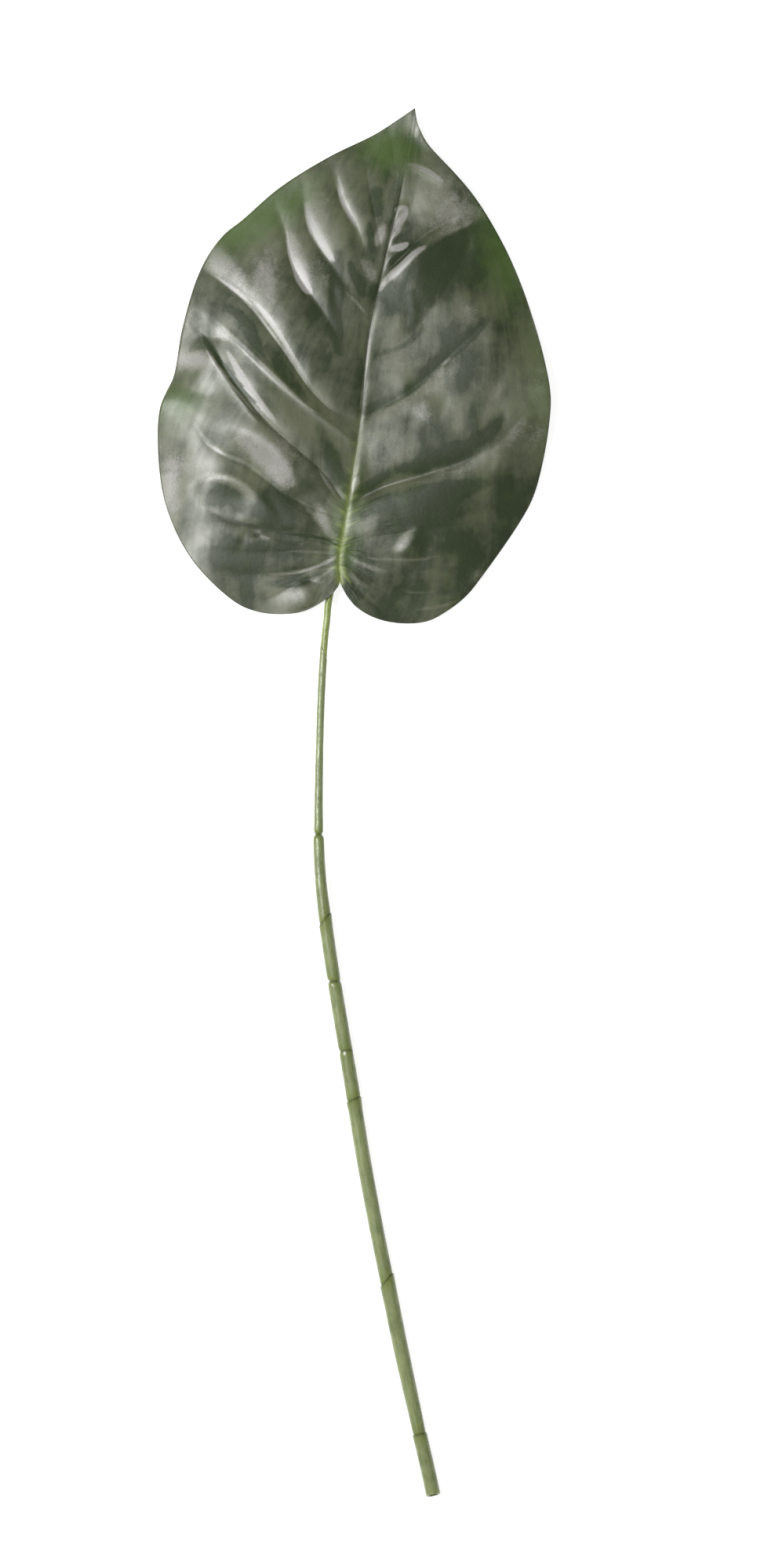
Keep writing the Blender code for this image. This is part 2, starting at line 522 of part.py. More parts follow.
def petiole_profile(rib_end):
    """From the rib's tip down to the plug; the distances above the stem's mouth are negative."""
    shoulder = -2.0 * GAP
    rings = [(-rib_end, 0.0), (-rib_end, 0.6 * RIB_TIP_RADIUS), (-rib_end + RIB_TIP_RADIUS, RIB_TIP_RADIUS)]
    rib = ((-rib_end + RIB_TIP_RADIUS, RIB_TIP_RADIUS), (-PETIOLE_LENGTH, RIB_BASE_RADIUS))
    stalk = (rib[-1], (-0.5 * PETIOLE_LENGTH, PETIOLE_RADIUS), (shoulder, PETIOLE_RADIUS))
    rings += stations(rib)[1:] + stations(stalk)[1:]
    return rings + [(shoulder, PLUG_RADIUS), (PLUG_LENGTH, PLUG_RADIUS), (PLUG_LENGTH, 0.0)]


def make_stem(collection, route, mouth):
    mesh = turn("stem", stem_profile())
    slant(mesh, 0.0, MOUTH_SLANT, STEM_SEGMENTS[0][0][1])
    for segment, (_, amount) in zip(STEM_SEGMENTS[1:], STEM_JOINTS):
        joint, radius = segment[0]
        slant(mesh, joint, amount, radius)
    bend(mesh, route, mouth)
    return add_object("stem", mesh, collection)


def make_petiole(collection, route, mouth):
    mesh = turn("petiole", petiole_profile(mouth - LINE_SPACING))
    slant(mesh, 0.0, MOUTH_SLANT, STEM_SEGMENTS[0][0][1])
    bend(mesh, route, mouth)
    return add_object("petiole", mesh, collection)


def main():
    clear_scene()
    collection = bpy.data.collections.new(COLLECTION_NAME)
    bpy.context.scene.collection.children.link(collection)
    route, mouth = stalk_route()
    make_blade(collection)
    make_petiole(collection, route, mouth)
    make_stem(collection, route, mouth)


main()
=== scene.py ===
import math

import bpy
import numpy as np
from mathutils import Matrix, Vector


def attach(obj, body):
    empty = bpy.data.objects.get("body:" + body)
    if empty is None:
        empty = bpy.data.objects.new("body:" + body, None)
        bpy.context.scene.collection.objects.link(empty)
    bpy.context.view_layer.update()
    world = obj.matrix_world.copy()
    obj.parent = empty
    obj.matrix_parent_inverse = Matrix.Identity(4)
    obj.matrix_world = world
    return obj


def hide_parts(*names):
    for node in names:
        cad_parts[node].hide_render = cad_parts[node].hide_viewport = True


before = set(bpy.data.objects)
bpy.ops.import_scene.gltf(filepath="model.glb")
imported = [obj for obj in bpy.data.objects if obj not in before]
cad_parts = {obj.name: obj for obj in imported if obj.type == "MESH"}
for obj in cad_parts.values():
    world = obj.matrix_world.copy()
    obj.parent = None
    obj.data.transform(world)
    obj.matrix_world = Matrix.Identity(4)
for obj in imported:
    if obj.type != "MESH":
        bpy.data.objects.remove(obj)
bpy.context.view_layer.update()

print("frame loaded:", ", ".join(sorted(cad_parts)))

# the pieces' dictionaries and sums are in millimetres, +Y towards the leaf's tip, +Z up out of its face;
# gridMesh turns them into metres
metresPerMm = 0.001

# Curves and fields
def lengthAlong(curve):
    # distance along the curve from its start to each of its points
    return np.concatenate(([0.0], np.cumsum(np.linalg.norm(np.diff(curve, axis=0), axis=1))))

def interpolate(place, length, curve):
    # the curve's point at each place, its own points lying at the given lengths
    return np.stack([np.interp(place, length, column) for column in curve.T], axis=-1)

def alongCurve(curve, share):
    # points at shares of the curve's length, 0 at its start and 1 at its end
    length = lengthAlong(curve)
    return interpolate(np.asarray(share) * length[-1], length, curve)

def smoothCurve(points, count):
    # cubic through the points, knots spaced by the root of each chord, then evened out by length
    points = np.array(points, dtype=float)
    steps = np.sqrt(np.linalg.norm(np.diff(points, axis=0), axis=1))
    knots = np.concatenate(([0.0], np.cumsum(steps)))
    slopes = np.gradient(points, knots, axis=0)
    samplesPerPoint = 40
    fine = np.linspace(0.0, knots[-1], samplesPerPoint * len(points))
    span = np.clip(np.searchsorted(knots, fine, side="right") - 1, 0, len(steps) - 1)
    width = steps[span][:, None]
    t = (fine[:, None] - knots[span][:, None]) / width
    curve = ((2 * t**3 - 3 * t**2 + 1) * points[span] + (t**3 - 2 * t**2 + t) * width * slopes[span]
             + (3 * t**2 - 2 * t**3) * points[span + 1] + (t**3 - t**2) * width * slopes[span + 1])
    return alongCurve(curve, np.linspace(0.0, 1.0, count))

def fromLine(points, line):
    # distance of each point from a line, its side (+1 left of it) and the share of the line passed, 0 to 1
    start, step = line[:-1], np.diff(line, axis=0)
    best = np.full(len(points), np.inf)
    side, passed = np.ones(len(points)), np.zeros(len(points))
    for number in range(len(step)):
        offset = points - start[number]
        share = np.clip(offset @ step[number] / (step[number] @ step[number]), 0.0, 1.0)
        away = np.linalg.norm(offset - share[:, None] * step[number], axis=1)
        closer = away < best
        best[closer] = away[closer]
        turn = step[number, 0] * offset[:, 1] - step[number, 1] * offset[:, 0]
        side[closer] = np.where(turn[closer] >= 0.0, 1.0, -1.0)
        passed[closer] = (number + share[closer]) / len(step)
    return best, side, passed

def plateKernel(points, spots):
    # half the squared distance times its logarithm, kept finite at the spot itself
    leastSquare = 0.001
    squared = ((points[:, None, :] - spots[None, :, :]) ** 2).sum(2)
    return 0.5 * squared * np.log(squared + leastSquare)

def plateHeight(points, spots):
    # thin plate spline: the smoothest sheet that passes through every spot height
    plan, count = spots[:, :2], len(spots)
    flat = np.column_stack((np.ones(count), plan))
    matrix = np.zeros((count + 3, count + 3))
    matrix[:count, :count] = plateKernel(plan, plan)
    matrix[:count, count:] = flat
    matrix[count:, :count] = flat.T
    weights = np.linalg.solve(matrix, np.append(spots[:, 2], (0.0, 0.0, 0.0)))
    evenSlope = np.column_stack((np.ones(len(points)), points)) @ weights[count:]
    return plateKernel(points, plan) @ weights[:count] + evenSlope

def spotMask(points, spots):
    # sum of soft round or oval spots: exp of minus the squared distance over each spot's two radii
    mask = np.zeros(len(points))
    for x, y, wide, tall, turn, strength in spots:
        c, s = math.cos(math.radians(turn)), math.sin(math.radians(turn))
        dx, dy = points[:, 0] - x, points[:, 1] - y
        mask += strength * np.exp(-(((c * dx + s * dy) / wide) ** 2) - ((c * dy - s * dx) / tall) ** 2)
    return mask

def gridMesh(name, places, poles, wrap=False, uv=None, values=None):
    # rows by columns of points made into quads; the two poles close the first and the last row
    rows, columns = places.shape[:2]
    points = np.concatenate((places.reshape(-1, 3), poles)) * metresPerMm
    across = np.arange(columns if wrap else columns - 1)
    after = (across + 1) % columns
    row = columns * np.arange(rows - 1)[:, None]
    quads = np.stack((row + across, row + after, row + columns + after, row + columns + across), axis=-1)
    start, end, lastRow = len(points) - 2, len(points) - 1, (rows - 1) * columns
    fans = np.concatenate((np.column_stack((np.full(len(across), start), after, across)),
                           np.column_stack((np.full(len(across), end), lastRow + across, lastRow + after))))
    mesh = bpy.data.meshes.new(name)
    mesh.from_pydata(points.tolist(), [], quads.reshape(-1, 4).tolist() + fans.tolist())
    for key, array in values.items():
        layer = mesh.attributes.new(key, "FLOAT", "POINT")
        array = array.reshape(rows, columns)
        flat = np.append(array.ravel(), (array[0].mean(), array[-1].mean()))
        layer.data.foreach_set("value", flat.astype(np.float32))
    if uv is not None:
        corners = np.empty(len(mesh.loops), dtype=np.int32)
        mesh.loops.foreach_get("vertex_index", corners)
        flat = np.concatenate((uv.reshape(-1, 2), uv[0].mean(0)[None], uv[-1].mean(0)[None])) * metresPerMm
        mesh.uv_layers.new(name="flow").data.foreach_set("uv", flat[corners].astype(np.float32).ravel())
    mesh.shade_smooth()
    item = bpy.data.objects.new(name, mesh)
    bpy.context.scene.collection.objects.link(item)
    return item

# Leaf blade
blade = dict(
    thickness=0.7, rise=0.6, rows=232, columns=86, flowLength=240.0,
    # points on each smoothed line: for sums over the sheet, and finer for laying out its rows
    ribSteps=120, veinSteps=60, foldSteps=40, fineRibSteps=400, fineEdgeSteps=600, fineVeinSteps=200,
    midrib=[(-6.6, 111.2), (-7.2, 120.7), (-4.2, 140.4), (3.3, 190.9), (7.6, 233.5), (14.7, 268.6),
        (24.2, 309.2), (30.9, 349.8)],
    leftEdge=[(-6.6, 111.2), (-9.4, 106.5), (-15.7, 101), (-25.5, 96.2), (-37, 94.9), (-48.4, 96.2),
        (-59.5, 101), (-81.1, 122.3), (-95, 151.4), (-98.7, 183), (-97.3, 198.8), (-94.2, 206.7),
        (-90.6, 214.6), (-85.9, 240.2), (-76.4, 269.8), (-65.8, 285.5), (-55.9, 293.4), (-37.8, 309.2),
        (-12.5, 325), (10.7, 336.6), (22.2, 343.9), (30.9, 349.8)],
    rightEdge=[(-6.6, 111.2), (-1.1, 101), (4.4, 96.2), (13.5, 92.1), (25.3, 90.3), (37.2, 91.5),
        (47, 96.6), (56.5, 104.1), (64.8, 114.4), (83.7, 141.6), (90.4, 154.2), (95.1, 171.2),
        (98.3, 190.9), (98.9, 204.7), (95.9, 222.4), (89.6, 246.1), (81.7, 268.2), (73.1, 285.5),
        (60.4, 305.3), (37.2, 331.9), (34, 337.6), (32, 342.7), (30.9, 349.8)],
    # x, y and height that the smooth form passes through
    spots=[(-6.6, 111.2, 12), (-5.8, 131.7, 12.2), (-2.7, 151.4, 12.5), (3.3, 190.9, 12.8),
        (7.6, 233.5, 12.8), (14.7, 268.6, 12), (21, 296.6, 10.5), (26.9, 323, 8), (30.9, 349.8, 7),
        (-29.9, 131.7, 13.5), (-43.7, 167.2, 15), (-41.7, 206.7, 16.5), (-31.8, 238.2, 17),
        (-20, 273.7, 15), (-4.2, 301.3, 11.8), (-71.3, 147.5, 13), (-77.2, 175.1, 12.8),
        (-73.3, 206.7, 12.5), (-67.3, 246.1, 11.5), (-55.5, 273.7, 10.5), (-35.8, 297.4, 9),
        (-15.7, 101, 10.5), (-37, 95.1, 8.5), (-59.5, 101, 8.2), (-59, 124, 13), (-81.1, 122.3, 10),
        (-95, 151.4, 0.6), (-98.7, 183, 1), (-96.1, 202.7, 6.2), (-90.6, 214.6, 4), (-85.9, 240.2, 4),
        (-76.4, 269.8, 4.5), (-65.8, 285.5, 4.5), (-55.9, 293.4, 5.5), (-37.8, 309.2, 5.5), (-12.5, 325, 6),
        (10.7, 336.8, 5), (19.4, 127.8, 11.2), (25, 160, 13.8), (43.1, 167.2, 13.6), (43.1, 198.8, 13.6),
        (45.1, 238.2, 13), (30, 274, 12.4), (43.1, 272, 10), (37.2, 301.3, 11), (54.9, 127.8, 7.2),
        (74.6, 167.2, 10), (80.6, 206.7, 12.5), (72.7, 246.1, 11), (58.9, 281.6, 7.2), (-1.1, 101, 10.5),
        (13.5, 92.3, 7.5), (25.3, 90.3, 6), (47, 96.6, 4.5), (64.8, 114.4, 2.5), (83.7, 141.6, -0.2),
        (95.1, 171.2, 5), (98.9, 204.7, 10.8), (95.9, 222.4, 9.8), (89.6, 246.1, 2.5), (81.7, 268.2, 0.8),
        (73.1, 285.5, 4), (60.4, 305.3, 8.5), (48.6, 320.6, 9.5), (37.2, 332.1, 6)],
    # x, y, two radii, turn in degrees, strength
    greenSpots=[(-59.9, 287.9, 20.1, 11.8, 30, 1), (-33, 302.9, 20.1, 9.9, 35, 0.9),
        (-87.1, 201.1, 13.8, 9.9, 0, 0.9), (23, 327, 13.8, 15.8, 0, 0.6), (75.8, 272.1, 11.8, 30, 15, 0.9),
        (94, 213, 7.1, 30, 0, 0.5), (13.5, 329.7, 14.2, 9.5, 0, 0.8), (-6.2, 137.3, 8.7, 17.4, -5, 0.4),
        (-4.2, 125.4, 7.1, 10.3, 0, 0.5), (-0.3, 155.4, 5.5, 23.7, -12, 0.5)],
    # spots of print tone that also paint highlights (positive strength) and shade (negative strength)
    toneSpots=[(-65.8, 235.1, 5.5, 3.2, -40, 0.9), (-80.8, 222.4, 8.7, 4.7, 0, 1.1),
        (-91.8, 159.3, 5.5, 18.9, 0, 1), (-81.1, 170.4, 9.5, 4.7, 0, 0.4),
        (-14.1, 142.8, 2.8, 6.3, 20, 0.3), (87.3, 183, 11.8, 11.8, 0, 0.4),
        (94.4, 214.6, 6.3, 31.6, 0, 0.4), (29.3, 231.1, 18.1, 14.2, 0, 0.3),
        (47.8, 303.3, 15.8, 13.4, 0, 0.5), (24.9, 177.1, 16.6, 11, 30, 0.1), (35.2, 194, 4.3, 3.5, 0, 0.6),
        (62.8, 114.8, 2.8, 3.2, 0, 0.9), (36.4, 114.8, 3.2, 3.2, 0, 0.5), (7.6, 137.6, 3.2, 4.3, 0, 0.3),
        (-67.7, 176.7, 2.4, 1.6, -40, 0.8), (-46.4, 132.5, 6.3, 3.5, 0, 0.5),
        (-57.1, 143.6, 2, 1.6, 0, 0.6), (-70.9, 147.9, 2.4, 1.6, 0, 0.6), (-68.9, 273.7, 5.9, 6.7, 20, 0.7),
        (70.7, 172, 10.3, 5.1, 25, 0.1), (-57.9, 150.7, 5.9, 4.7, 0, -0.7),
        (-53.1, 104.9, 4.7, 7.9, 0, -0.9), (-57.9, 125.4, 10.3, 7.9, 0, -0.6),
        (54.9, 267.8, 15.8, 11.8, 0, -0.4), (43.9, 261.1, 6.3, 5.5, 0, -0.5),
        (27.3, 246.1, 15.8, 11.8, 0, -0.4), (78.6, 151.4, 15.8, 23.7, -15, -0.6),
        (-65.8, 123.1, 13.4, 6.3, 0, -0.4), (19.4, 143.6, 16.6, 8.7, 0, -0.5),
        (49, 129.8, 30.8, 23.7, -30, -0.6), (27.3, 100.2, 30, 10.3, 0, -0.5),
        (11.5, 163.3, 7.1, 3.9, 0, 0.3), (-45.3, 142.8, 4.7, 5.5, 0, -0.6),
        (29.7, 332.1, 5.5, 5.5, 0, -0.6), (13.5, 328.9, 13.4, 11.8, 0, -0.3),
        (-18.4, 300.5, 10.3, 18.9, 25, 0.4), (43.1, 151.4, 23.7, 9.5, 20, -0.3),
        (-50.8, 119.9, 23.7, 13.4, 0, -0.5), (-46, 153, 3.5, 5.9, -30, -0.5),
        (-83.9, 243, 7.1, 9.5, 0, 0.4), (55.7, 213.8, 13.4, 3.9, 70, -0.8),
        (60.8, 196.4, 8.7, 4.3, 60, -0.6), (68.3, 186.2, 8.7, 4.3, 50, -0.7),
        (35.2, 168.8, 15.8, 3.5, 18, -0.6), (58.1, 246.9, 8.7, 8.7, 0, 0.4),
        (31.3, 252.4, 13.4, 4.7, 0, -0.5), (-48.4, 261.1, 16.6, 19.7, 0, 0.4),
        (-16.9, 265.8, 5.5, 12.6, 20, 0.4), (-35.8, 242.2, 11.8, 11.8, 0, 0.2),
        (-46.8, 251.2, 10.3, 3.5, -42, -0.5), (-61.8, 141.6, 8.7, 2.4, -12, -0.5),
        (-51.6, 145.5, 3.9, 4.7, 0, -0.4), (-30.3, 174.7, 21.7, 6.3, -45, 0.3),
        (-48.6, 134.5, 1.2, 1.2, 0, -1.2), (-43.7, 132.9, 3.2, 1.2, -20, 0.6),
        (-80.8, 223.2, 7.1, 4.7, 0, 0.4)],
    # soft bands of print that also paint highlights (positive strength) and shade (negative strength):
    # strength, width to the left of the route and to its right, route
    toneBands=[
        (0.5, 5.2, 5.2, [(-72.9, 284), (-66.6, 272.9), (-59.5, 262.7), (-52.4, 252.4)]),
        (0.2, 4.5, 1, [(-61, 260.3), (-47.2, 250), (-38.2, 236.6), (-29.5, 221.7)]),
        (0.9, 6.4, 0.8, [(-33.4, 287.9), (-32.2, 276.5), (-28.7, 265), (-23.2, 254)]),
        (0.9, 4.6, 0.8, [(-24.7, 302.1), (-23.2, 291.5), (-19.2, 283.6), (-13.7, 275.3), (-9.4, 270.2)]),
        (0.4, 3.5, 1, [(-7.8, 323), (-7.4, 312.4), (-5, 303.3), (-1.5, 295.8), (2.1, 287.9)]),
        (1.1, 6.6, 6, [(-58.7, 185.4), (-48.4, 178.3), (-39.7, 169.6), (-31.1, 157.8)]),
        (0.5, 2.4, 2.4, [(-83.1, 157.8), (-77.2, 162.5), (-70.9, 163.7), (-63, 162.5), (-55.1, 157.8),
            (-48.4, 150.7)]),
        (0.2, 2, 2, [(-80.4, 135.7), (-76, 131.7), (-71.3, 127)]),
        (0.4, 0.8, 10, [(-44.5, 104.1), (-39.7, 106.5), (-31.1, 107.7), (-19.2, 108.9)]),
        (0.7, 2.8, 2.8, [(-19.2, 151.4), (-16.5, 145.1), (-13.7, 138.8), (-10.6, 132.5)]),
        (0.5, 0.8, 6.2, [(0.5, 150.7), (6, 154.6), (17.1, 158.9), (26.9, 162.5), (38, 166),
            (50.2, 168.8), (60.4, 172), (70.7, 177.5), (78.2, 185.8), (85.7, 194.8)]),
        (0.9, 2.2, 2.2, [(19.8, 125), (22.6, 129), (25.7, 132.9), (28.5, 136.1), (31.7, 139.6)]),
        (0.4, 11, 0.8, [(35.6, 279.2), (39.5, 282.8), (46.2, 285.9), (56.1, 290.3), (66, 296.6)]),
        (0.8, 2.6, 2.6, [(10.7, 279.2), (13.1, 284.8), (15.5, 291.1)]),
        (0.6, 3.2, 3.2, [(4.4, 273.7), (7.6, 267.8), (10.7, 260.3)]),
        (0.4, 5, 5, [(-38.9, 283.2), (-42.9, 269.8), (-44.5, 254), (-42.1, 240.6)]),
        (0.7, 2, 2, [(21.8, 287.9), (24.2, 293.4), (26.1, 299)]),
        (0.8, 1.8, 1.8, [(18.6, 277.7), (22.6, 278.8), (27.3, 280.8)]),
        (0.3, 3, 3, [(-47.6, 194.8), (-38.9, 184.6), (-27.9, 173.5)]),
        (-1, 2.6, 2.6, [(-65, 249.3), (-57.9, 245.3), (-52.4, 239), (-46.8, 227.2)]),
        (-0.9, 3, 2.6, [(-43.7, 230.3), (-37.4, 220.1), (-28.7, 207.8), (-23.2, 200.4)]),
        (-0.6, 3.4, 0.6, [(-61, 241.4), (-50.8, 230.3), (-41.7, 219.3), (-31.8, 207.5)]),
        (-1, 5, 5, [(-74.4, 147.5), (-68.9, 153), (-63.4, 154.6), (-57.1, 150.7)]),
        (-0.7, 2.2, 2.2, [(-44.5, 110), (-35.8, 110.4), (-25.9, 111.2), (-15.3, 116.3)]),
        (-0.7, 3.4, 3.4, [(-18.4, 190.9), (-12.1, 177.1), (-8.2, 166.4), (-3.5, 154.6)]),
        (-1, 3.6, 3.6, [(11.9, 310), (11.1, 302.9), (11.9, 294.2)]),
        (-0.7, 1.8, 1.8, [(7.6, 291.9), (8.4, 284), (9.6, 276.1)]),
        (-0.8, 3.2, 3.2, [(-7, 278.4), (-8.2, 261.9), (-9, 246.1), (-7.4, 224)]),
        (-0.9, 2, 2, [(-2.7, 272.1), (0.5, 265), (5.2, 254)]),
        (-0.5, 2.2, 2.2, [(-1.9, 290.3), (-0.7, 281.6), (0.5, 273.7)]),
        (-0.9, 5, 0.7, [(2.9, 194.4), (15.9, 198.8), (28.9, 205.9), (37.2, 213.4), (44.3, 220.5),
            (51.8, 226.4), (61.2, 233.9), (69.1, 243)]),
        (-0.8, 4, 1, [(0.5, 153.8), (10.7, 160.1), (19.4, 164.9), (31.3, 168.8), (43.1, 173.5),
            (58.9, 179.1), (71.5, 186.2), (76.2, 198.8)]),
        (-1, 4, 5, [(-1.9, 142.8), (9.6, 149.1), (21.4, 153), (35.2, 155.4), (51, 157.8), (69.1, 161.7)]),
        (-0.8, 2.2, 22, [(27.3, 265), (39.9, 276.1), (47.8, 282.8), (57.3, 286.7), (74.6, 295)]),
        (-0.5, 2, 2, [(17.1, 265), (19.4, 254), (18.6, 242.2)]),
        (0.4, 0.6, 9, [(7.6, 195.6), (15.9, 198.4), (28.9, 205.5), (37.2, 213), (44.3, 220.1),
            (51.8, 226), (61.2, 233.5)]),
        (0.4, 2.4, 2.4, [(79.4, 219.3), (72.3, 205.5), (63.6, 187.7)]),
        (-0.5, 1.4, 1.4, [(8.8, 224), (17.5, 226.8), (25.3, 229.9), (31.3, 234.3), (36, 239.4)])],
    # crisp strokes of print that also paint highlights (positive strength) and shade (negative strength):
    # strength, half width, route
    toneStrokes=[
        (0.8, 1.2, [(-72.1, 267.8), (-61.4, 259.1), (-54.3, 254), (-47.2, 248.1), (-41.7, 241.8),
            (-37, 234.7), (-31.5, 225.6), (-25.5, 216.1), (-19.2, 207.1)]),
        (0.7, 0.8, [(-60.2, 231.9), (-52.8, 224.4), (-43.7, 215.3), (-34.6, 207.1), (-24.4, 199.2),
            (-16.1, 194.4)]),
        (0.8, 0.8, [(-74.4, 228), (-65.4, 214.9), (-57.1, 204.7), (-47.2, 192.5)]),
        (-1, 1.3, [(-76.8, 236.6), (-72.9, 229.9), (-68.9, 224), (-64.6, 218.5), (-56.3, 208.2),
            (-47.2, 198)]),
        (1.3, 1.8, [(-63.4, 227.2), (-57.1, 215.7), (-51.6, 206.7), (-45.7, 198.8), (-38.2, 190.1)]),
        (0.7, 0.9, [(-33.4, 287.9), (-32.2, 276.5), (-28.7, 265), (-23.2, 254)]),
        (1.1, 2.2, [(-30.3, 273.7), (-27.5, 266.6), (-23.6, 258.7), (-20.8, 254.8)]),
        (1, 1.8, [(-23.2, 297.4), (-20, 287.9), (-14.9, 279.2), (-9.4, 271.3)]),
        (1, 1.4, [(-7.4, 315.5), (-6.2, 305.7), (-3.5, 298.2), (1.3, 288.7)]),
        (0.9, 0.8, [(-76, 183), (-72.1, 179.1), (-67.3, 175.9), (-63, 173.5)]),
        (-1, 0.8, [(-74.4, 147.9), (-65.4, 142.8), (-52.8, 139.2), (-40.1, 136.9), (-23.2, 134.1),
            (-8.2, 131.7)]),
        (0.9, 1, [(-43.7, 114.8), (-32.2, 115.6), (-20.8, 117.9), (-9.4, 123.1), (-4.2, 125.4)]),
        (0.5, 0.7, [(-35.8, 126.2), (-24, 126.2), (-10.6, 125.4)]),
        (0.5, 0.8, [(-21.6, 110.8), (-14.1, 115.2), (-6.6, 121.1)]),
        (0.6, 1, [(-18, 168), (-12.9, 160.1), (-6.6, 150.7)]),
        (0.6, 1.2, [(-4.2, 125.4), (0.5, 121.9), (7.6, 118.7), (17.8, 115.2)]),
        (0.6, 0.8, [(4.4, 123.1), (16.3, 122.3), (28.5, 121.9), (43.9, 124.2)]),
        (0.4, 1.4, [(-3.8, 119.1), (0.5, 112.8), (7.6, 108.1)]),
        (0.5, 0.8, [(20.6, 107.7), (31.3, 106.1), (43.9, 106.5)]),
        (0.5, 0.8, [(30.5, 97), (43.9, 99), (54.1, 102.5)]),
        (0.5, 1.2, [(30.9, 334.5), (31.7, 336.8), (32.4, 339.2), (33.2, 341.2)]),
        (1.1, 1.4, [(26.5, 321.8), (32, 319.9), (37.6, 317.1), (45.5, 311.6)]),
        (1.3, 1.9, [(12.7, 256.4), (16.3, 261.9), (21.4, 266.6), (26.5, 271.7), (31.3, 276.1),
            (36.8, 279.6)]),
        (-1, 0.8, [(15.9, 266.2), (21.8, 270.2), (26.9, 276.1), (34, 282.8)]),
        (1.1, 1.2, [(20.2, 297.4), (23.8, 299), (28.1, 298.6)]),
        (1.1, 1.3, [(19, 286.7), (22.2, 290.7), (24.9, 293.8), (27.3, 297.8)]),
        (1, 1.3, [(17.8, 282.8), (20.6, 285.5), (24.2, 288.7)]),
        (1, 1.5, [(17.5, 276.5), (20.6, 278.4), (24.2, 279.2), (28.1, 281.6)]),
        (1, 0.9, [(22.6, 299.7), (20.6, 292.6), (19, 285.5), (17.5, 278.4), (15.9, 269.8)]),
        (0.8, 0.9, [(11.9, 257.9), (10, 249.3), (8.4, 238.2), (5.6, 214.6), (2.9, 194.8)]),
        (-0.9, 0.9, [(19.4, 280.8), (22.6, 282.8), (25.7, 284.8), (30.1, 289.5)]),
        (-0.7, 0.9, [(20.6, 273.7), (23.4, 274.9), (27.7, 278.1)]),
        (0.6, 0.8, [(-4.2, 256.4), (0.5, 252), (7.2, 244.5)]),
        (1, 1.6, [(-0.7, 156.2), (0.9, 160.1), (2.9, 164.5)]),
        (0.9, 0.8, [(43.5, 218.9), (46.2, 221.7), (49.4, 224.8)])],
    # depth (a ridge if negative), width of the bank towards the stalk and of that towards the tip, start
    # and end of the swell in half waves, route
    leftVeins=[
        (0.8, 5, 5, 0.25, 1, [(-7, 117.5), (-19.2, 113.6), (-52.4, 97.4)]),
        (1.2, 5, 6, 0.25, 1, [(-7, 121.5), (-18, 119.5), (-35, 115), (-74.4, 115.6)]),
        (1, 5, 5, 0.25, 1, [(-6.4, 124.6), (-16.1, 126.6), (-47.6, 125.4), (-84.3, 126.6)]),
        (2, 8, 7, 0.25, 1.25, [(-5.8, 130.2), (-18, 134.5), (-48.4, 137.8), (-74.4, 147.9),
            (-88.7, 167.3), (-98.7, 177.1)]),
        (1.8, 6, 4, 0.1, 1, [(-3.8, 142), (-20, 148.3), (-33.4, 154.6), (-43.7, 162.5), (-55.5, 171.2),
            (-65, 175.1), (-73.7, 181.8), (-80.4, 190.9), (-96.1, 202.7)]),
        (2.4, 2.2, 3.4, 0.12, 1, [(-3.1, 149.1), (-9.4, 157.8), (-17, 167.8), (-24.6, 174.2),
            (-36.2, 184), (-45.9, 193), (-56.6, 206.2), (-64, 216.5), (-71.3, 231.5), (-78.4, 238.2)]),
        (-1.3, 1.5, 8, 0.1, 1, [(1.3, 179.1), (-8.2, 187.3), (-18.4, 194.8), (-41.7, 216.1),
            (-61, 234.3), (-72.1, 244.1), (-83.1, 252)]),
        (2.6, 9, 2.8, 0.1, 0.8, [(3.6, 194), (-8.2, 195.6), (-20.4, 205.9), (-38.3, 231.5),
            (-55.3, 253.2), (-76, 269.8)]),
        (3, 8, 7, -0.3, 1, [(5.2, 207.8), (-11.7, 240.2), (-29.5, 267.8), (-35, 288.7), (-41.3, 306.1)]),
        (2.8, 8, 6, -0.3, 1, [(7.6, 233.5), (-2.3, 257.1), (-14.5, 274.5), (-22, 288.7), (-25.9, 316.7)]),
        (2.2, 7, 4, -0.3, 1, [(11.9, 256.8), (1.1, 289.5), (-5.8, 302.9), (-12.1, 325.4)]),
        (0.8, 6, 6, 0.25, 1, [(15.5, 271.7), (9.2, 301.3), (4.4, 333.7)]),
        (0.6, 5, 5, 0.25, 1, [(22.6, 302.9), (18.2, 341.2)])],
    rightVeins=[
        (0.8, 5, 5, 0.25, 1, [(-7, 117.5), (2.9, 106.1), (24.2, 90.3)]),
        (1, 5, 5, 0.25, 1, [(-7, 120.3), (3.6, 116.7), (14.7, 109.6), (23.4, 106.9), (58.1, 105.7)]),
        (0.8, 5, 5, 0.25, 1, [(-6.6, 123.1), (-2.3, 125.4), (18.2, 123.1), (71.5, 124.2)]),
        (1, 6, 6, 0.25, 1, [(-5.8, 129), (5.6, 132.5), (47, 138.8), (84.1, 142.4)]),
        (4.2, 4.5, 7.5, 0.3, 1.4, [(-3, 150), (5.6, 154.3), (15.5, 158.9), (37.9, 165.4), (58.9, 173.2),
            (67.9, 178.8), (74.5, 184.3), (81.2, 195.4), (94.8, 226.8)]),
        (2.2, 5, 11, 0.2, 1, [(2.5, 188.9), (9.6, 195.6), (28.5, 206.7), (48.6, 224), (67.5, 243),
            (79.4, 273.7)]),
        (1.2, 7, 10, 0.2, 1, [(6, 216.5), (13.5, 225.2), (27.3, 233.5), (51, 265.8), (64.8, 298.6)]),
        (2.2, 3, 4, 0.4, 1, [(14.1, 264.5), (18.2, 268.5), (23, 272.7), (29.1, 278.8), (34, 283.7),
            (41.5, 288.7), (50.8, 293.8), (62, 303.3)]),
        (0.6, 5, 6, 0.25, 1, [(16.3, 276.9), (28.9, 298.2), (35.2, 334.5)]),
        (0.8, 5, 5, 0.25, 1, [(23.4, 306.1), (32.4, 341.6)])],
    # height, 1 for a crease or 2 for a soft fold, width to the left of the route and to its right, route
    folds=[
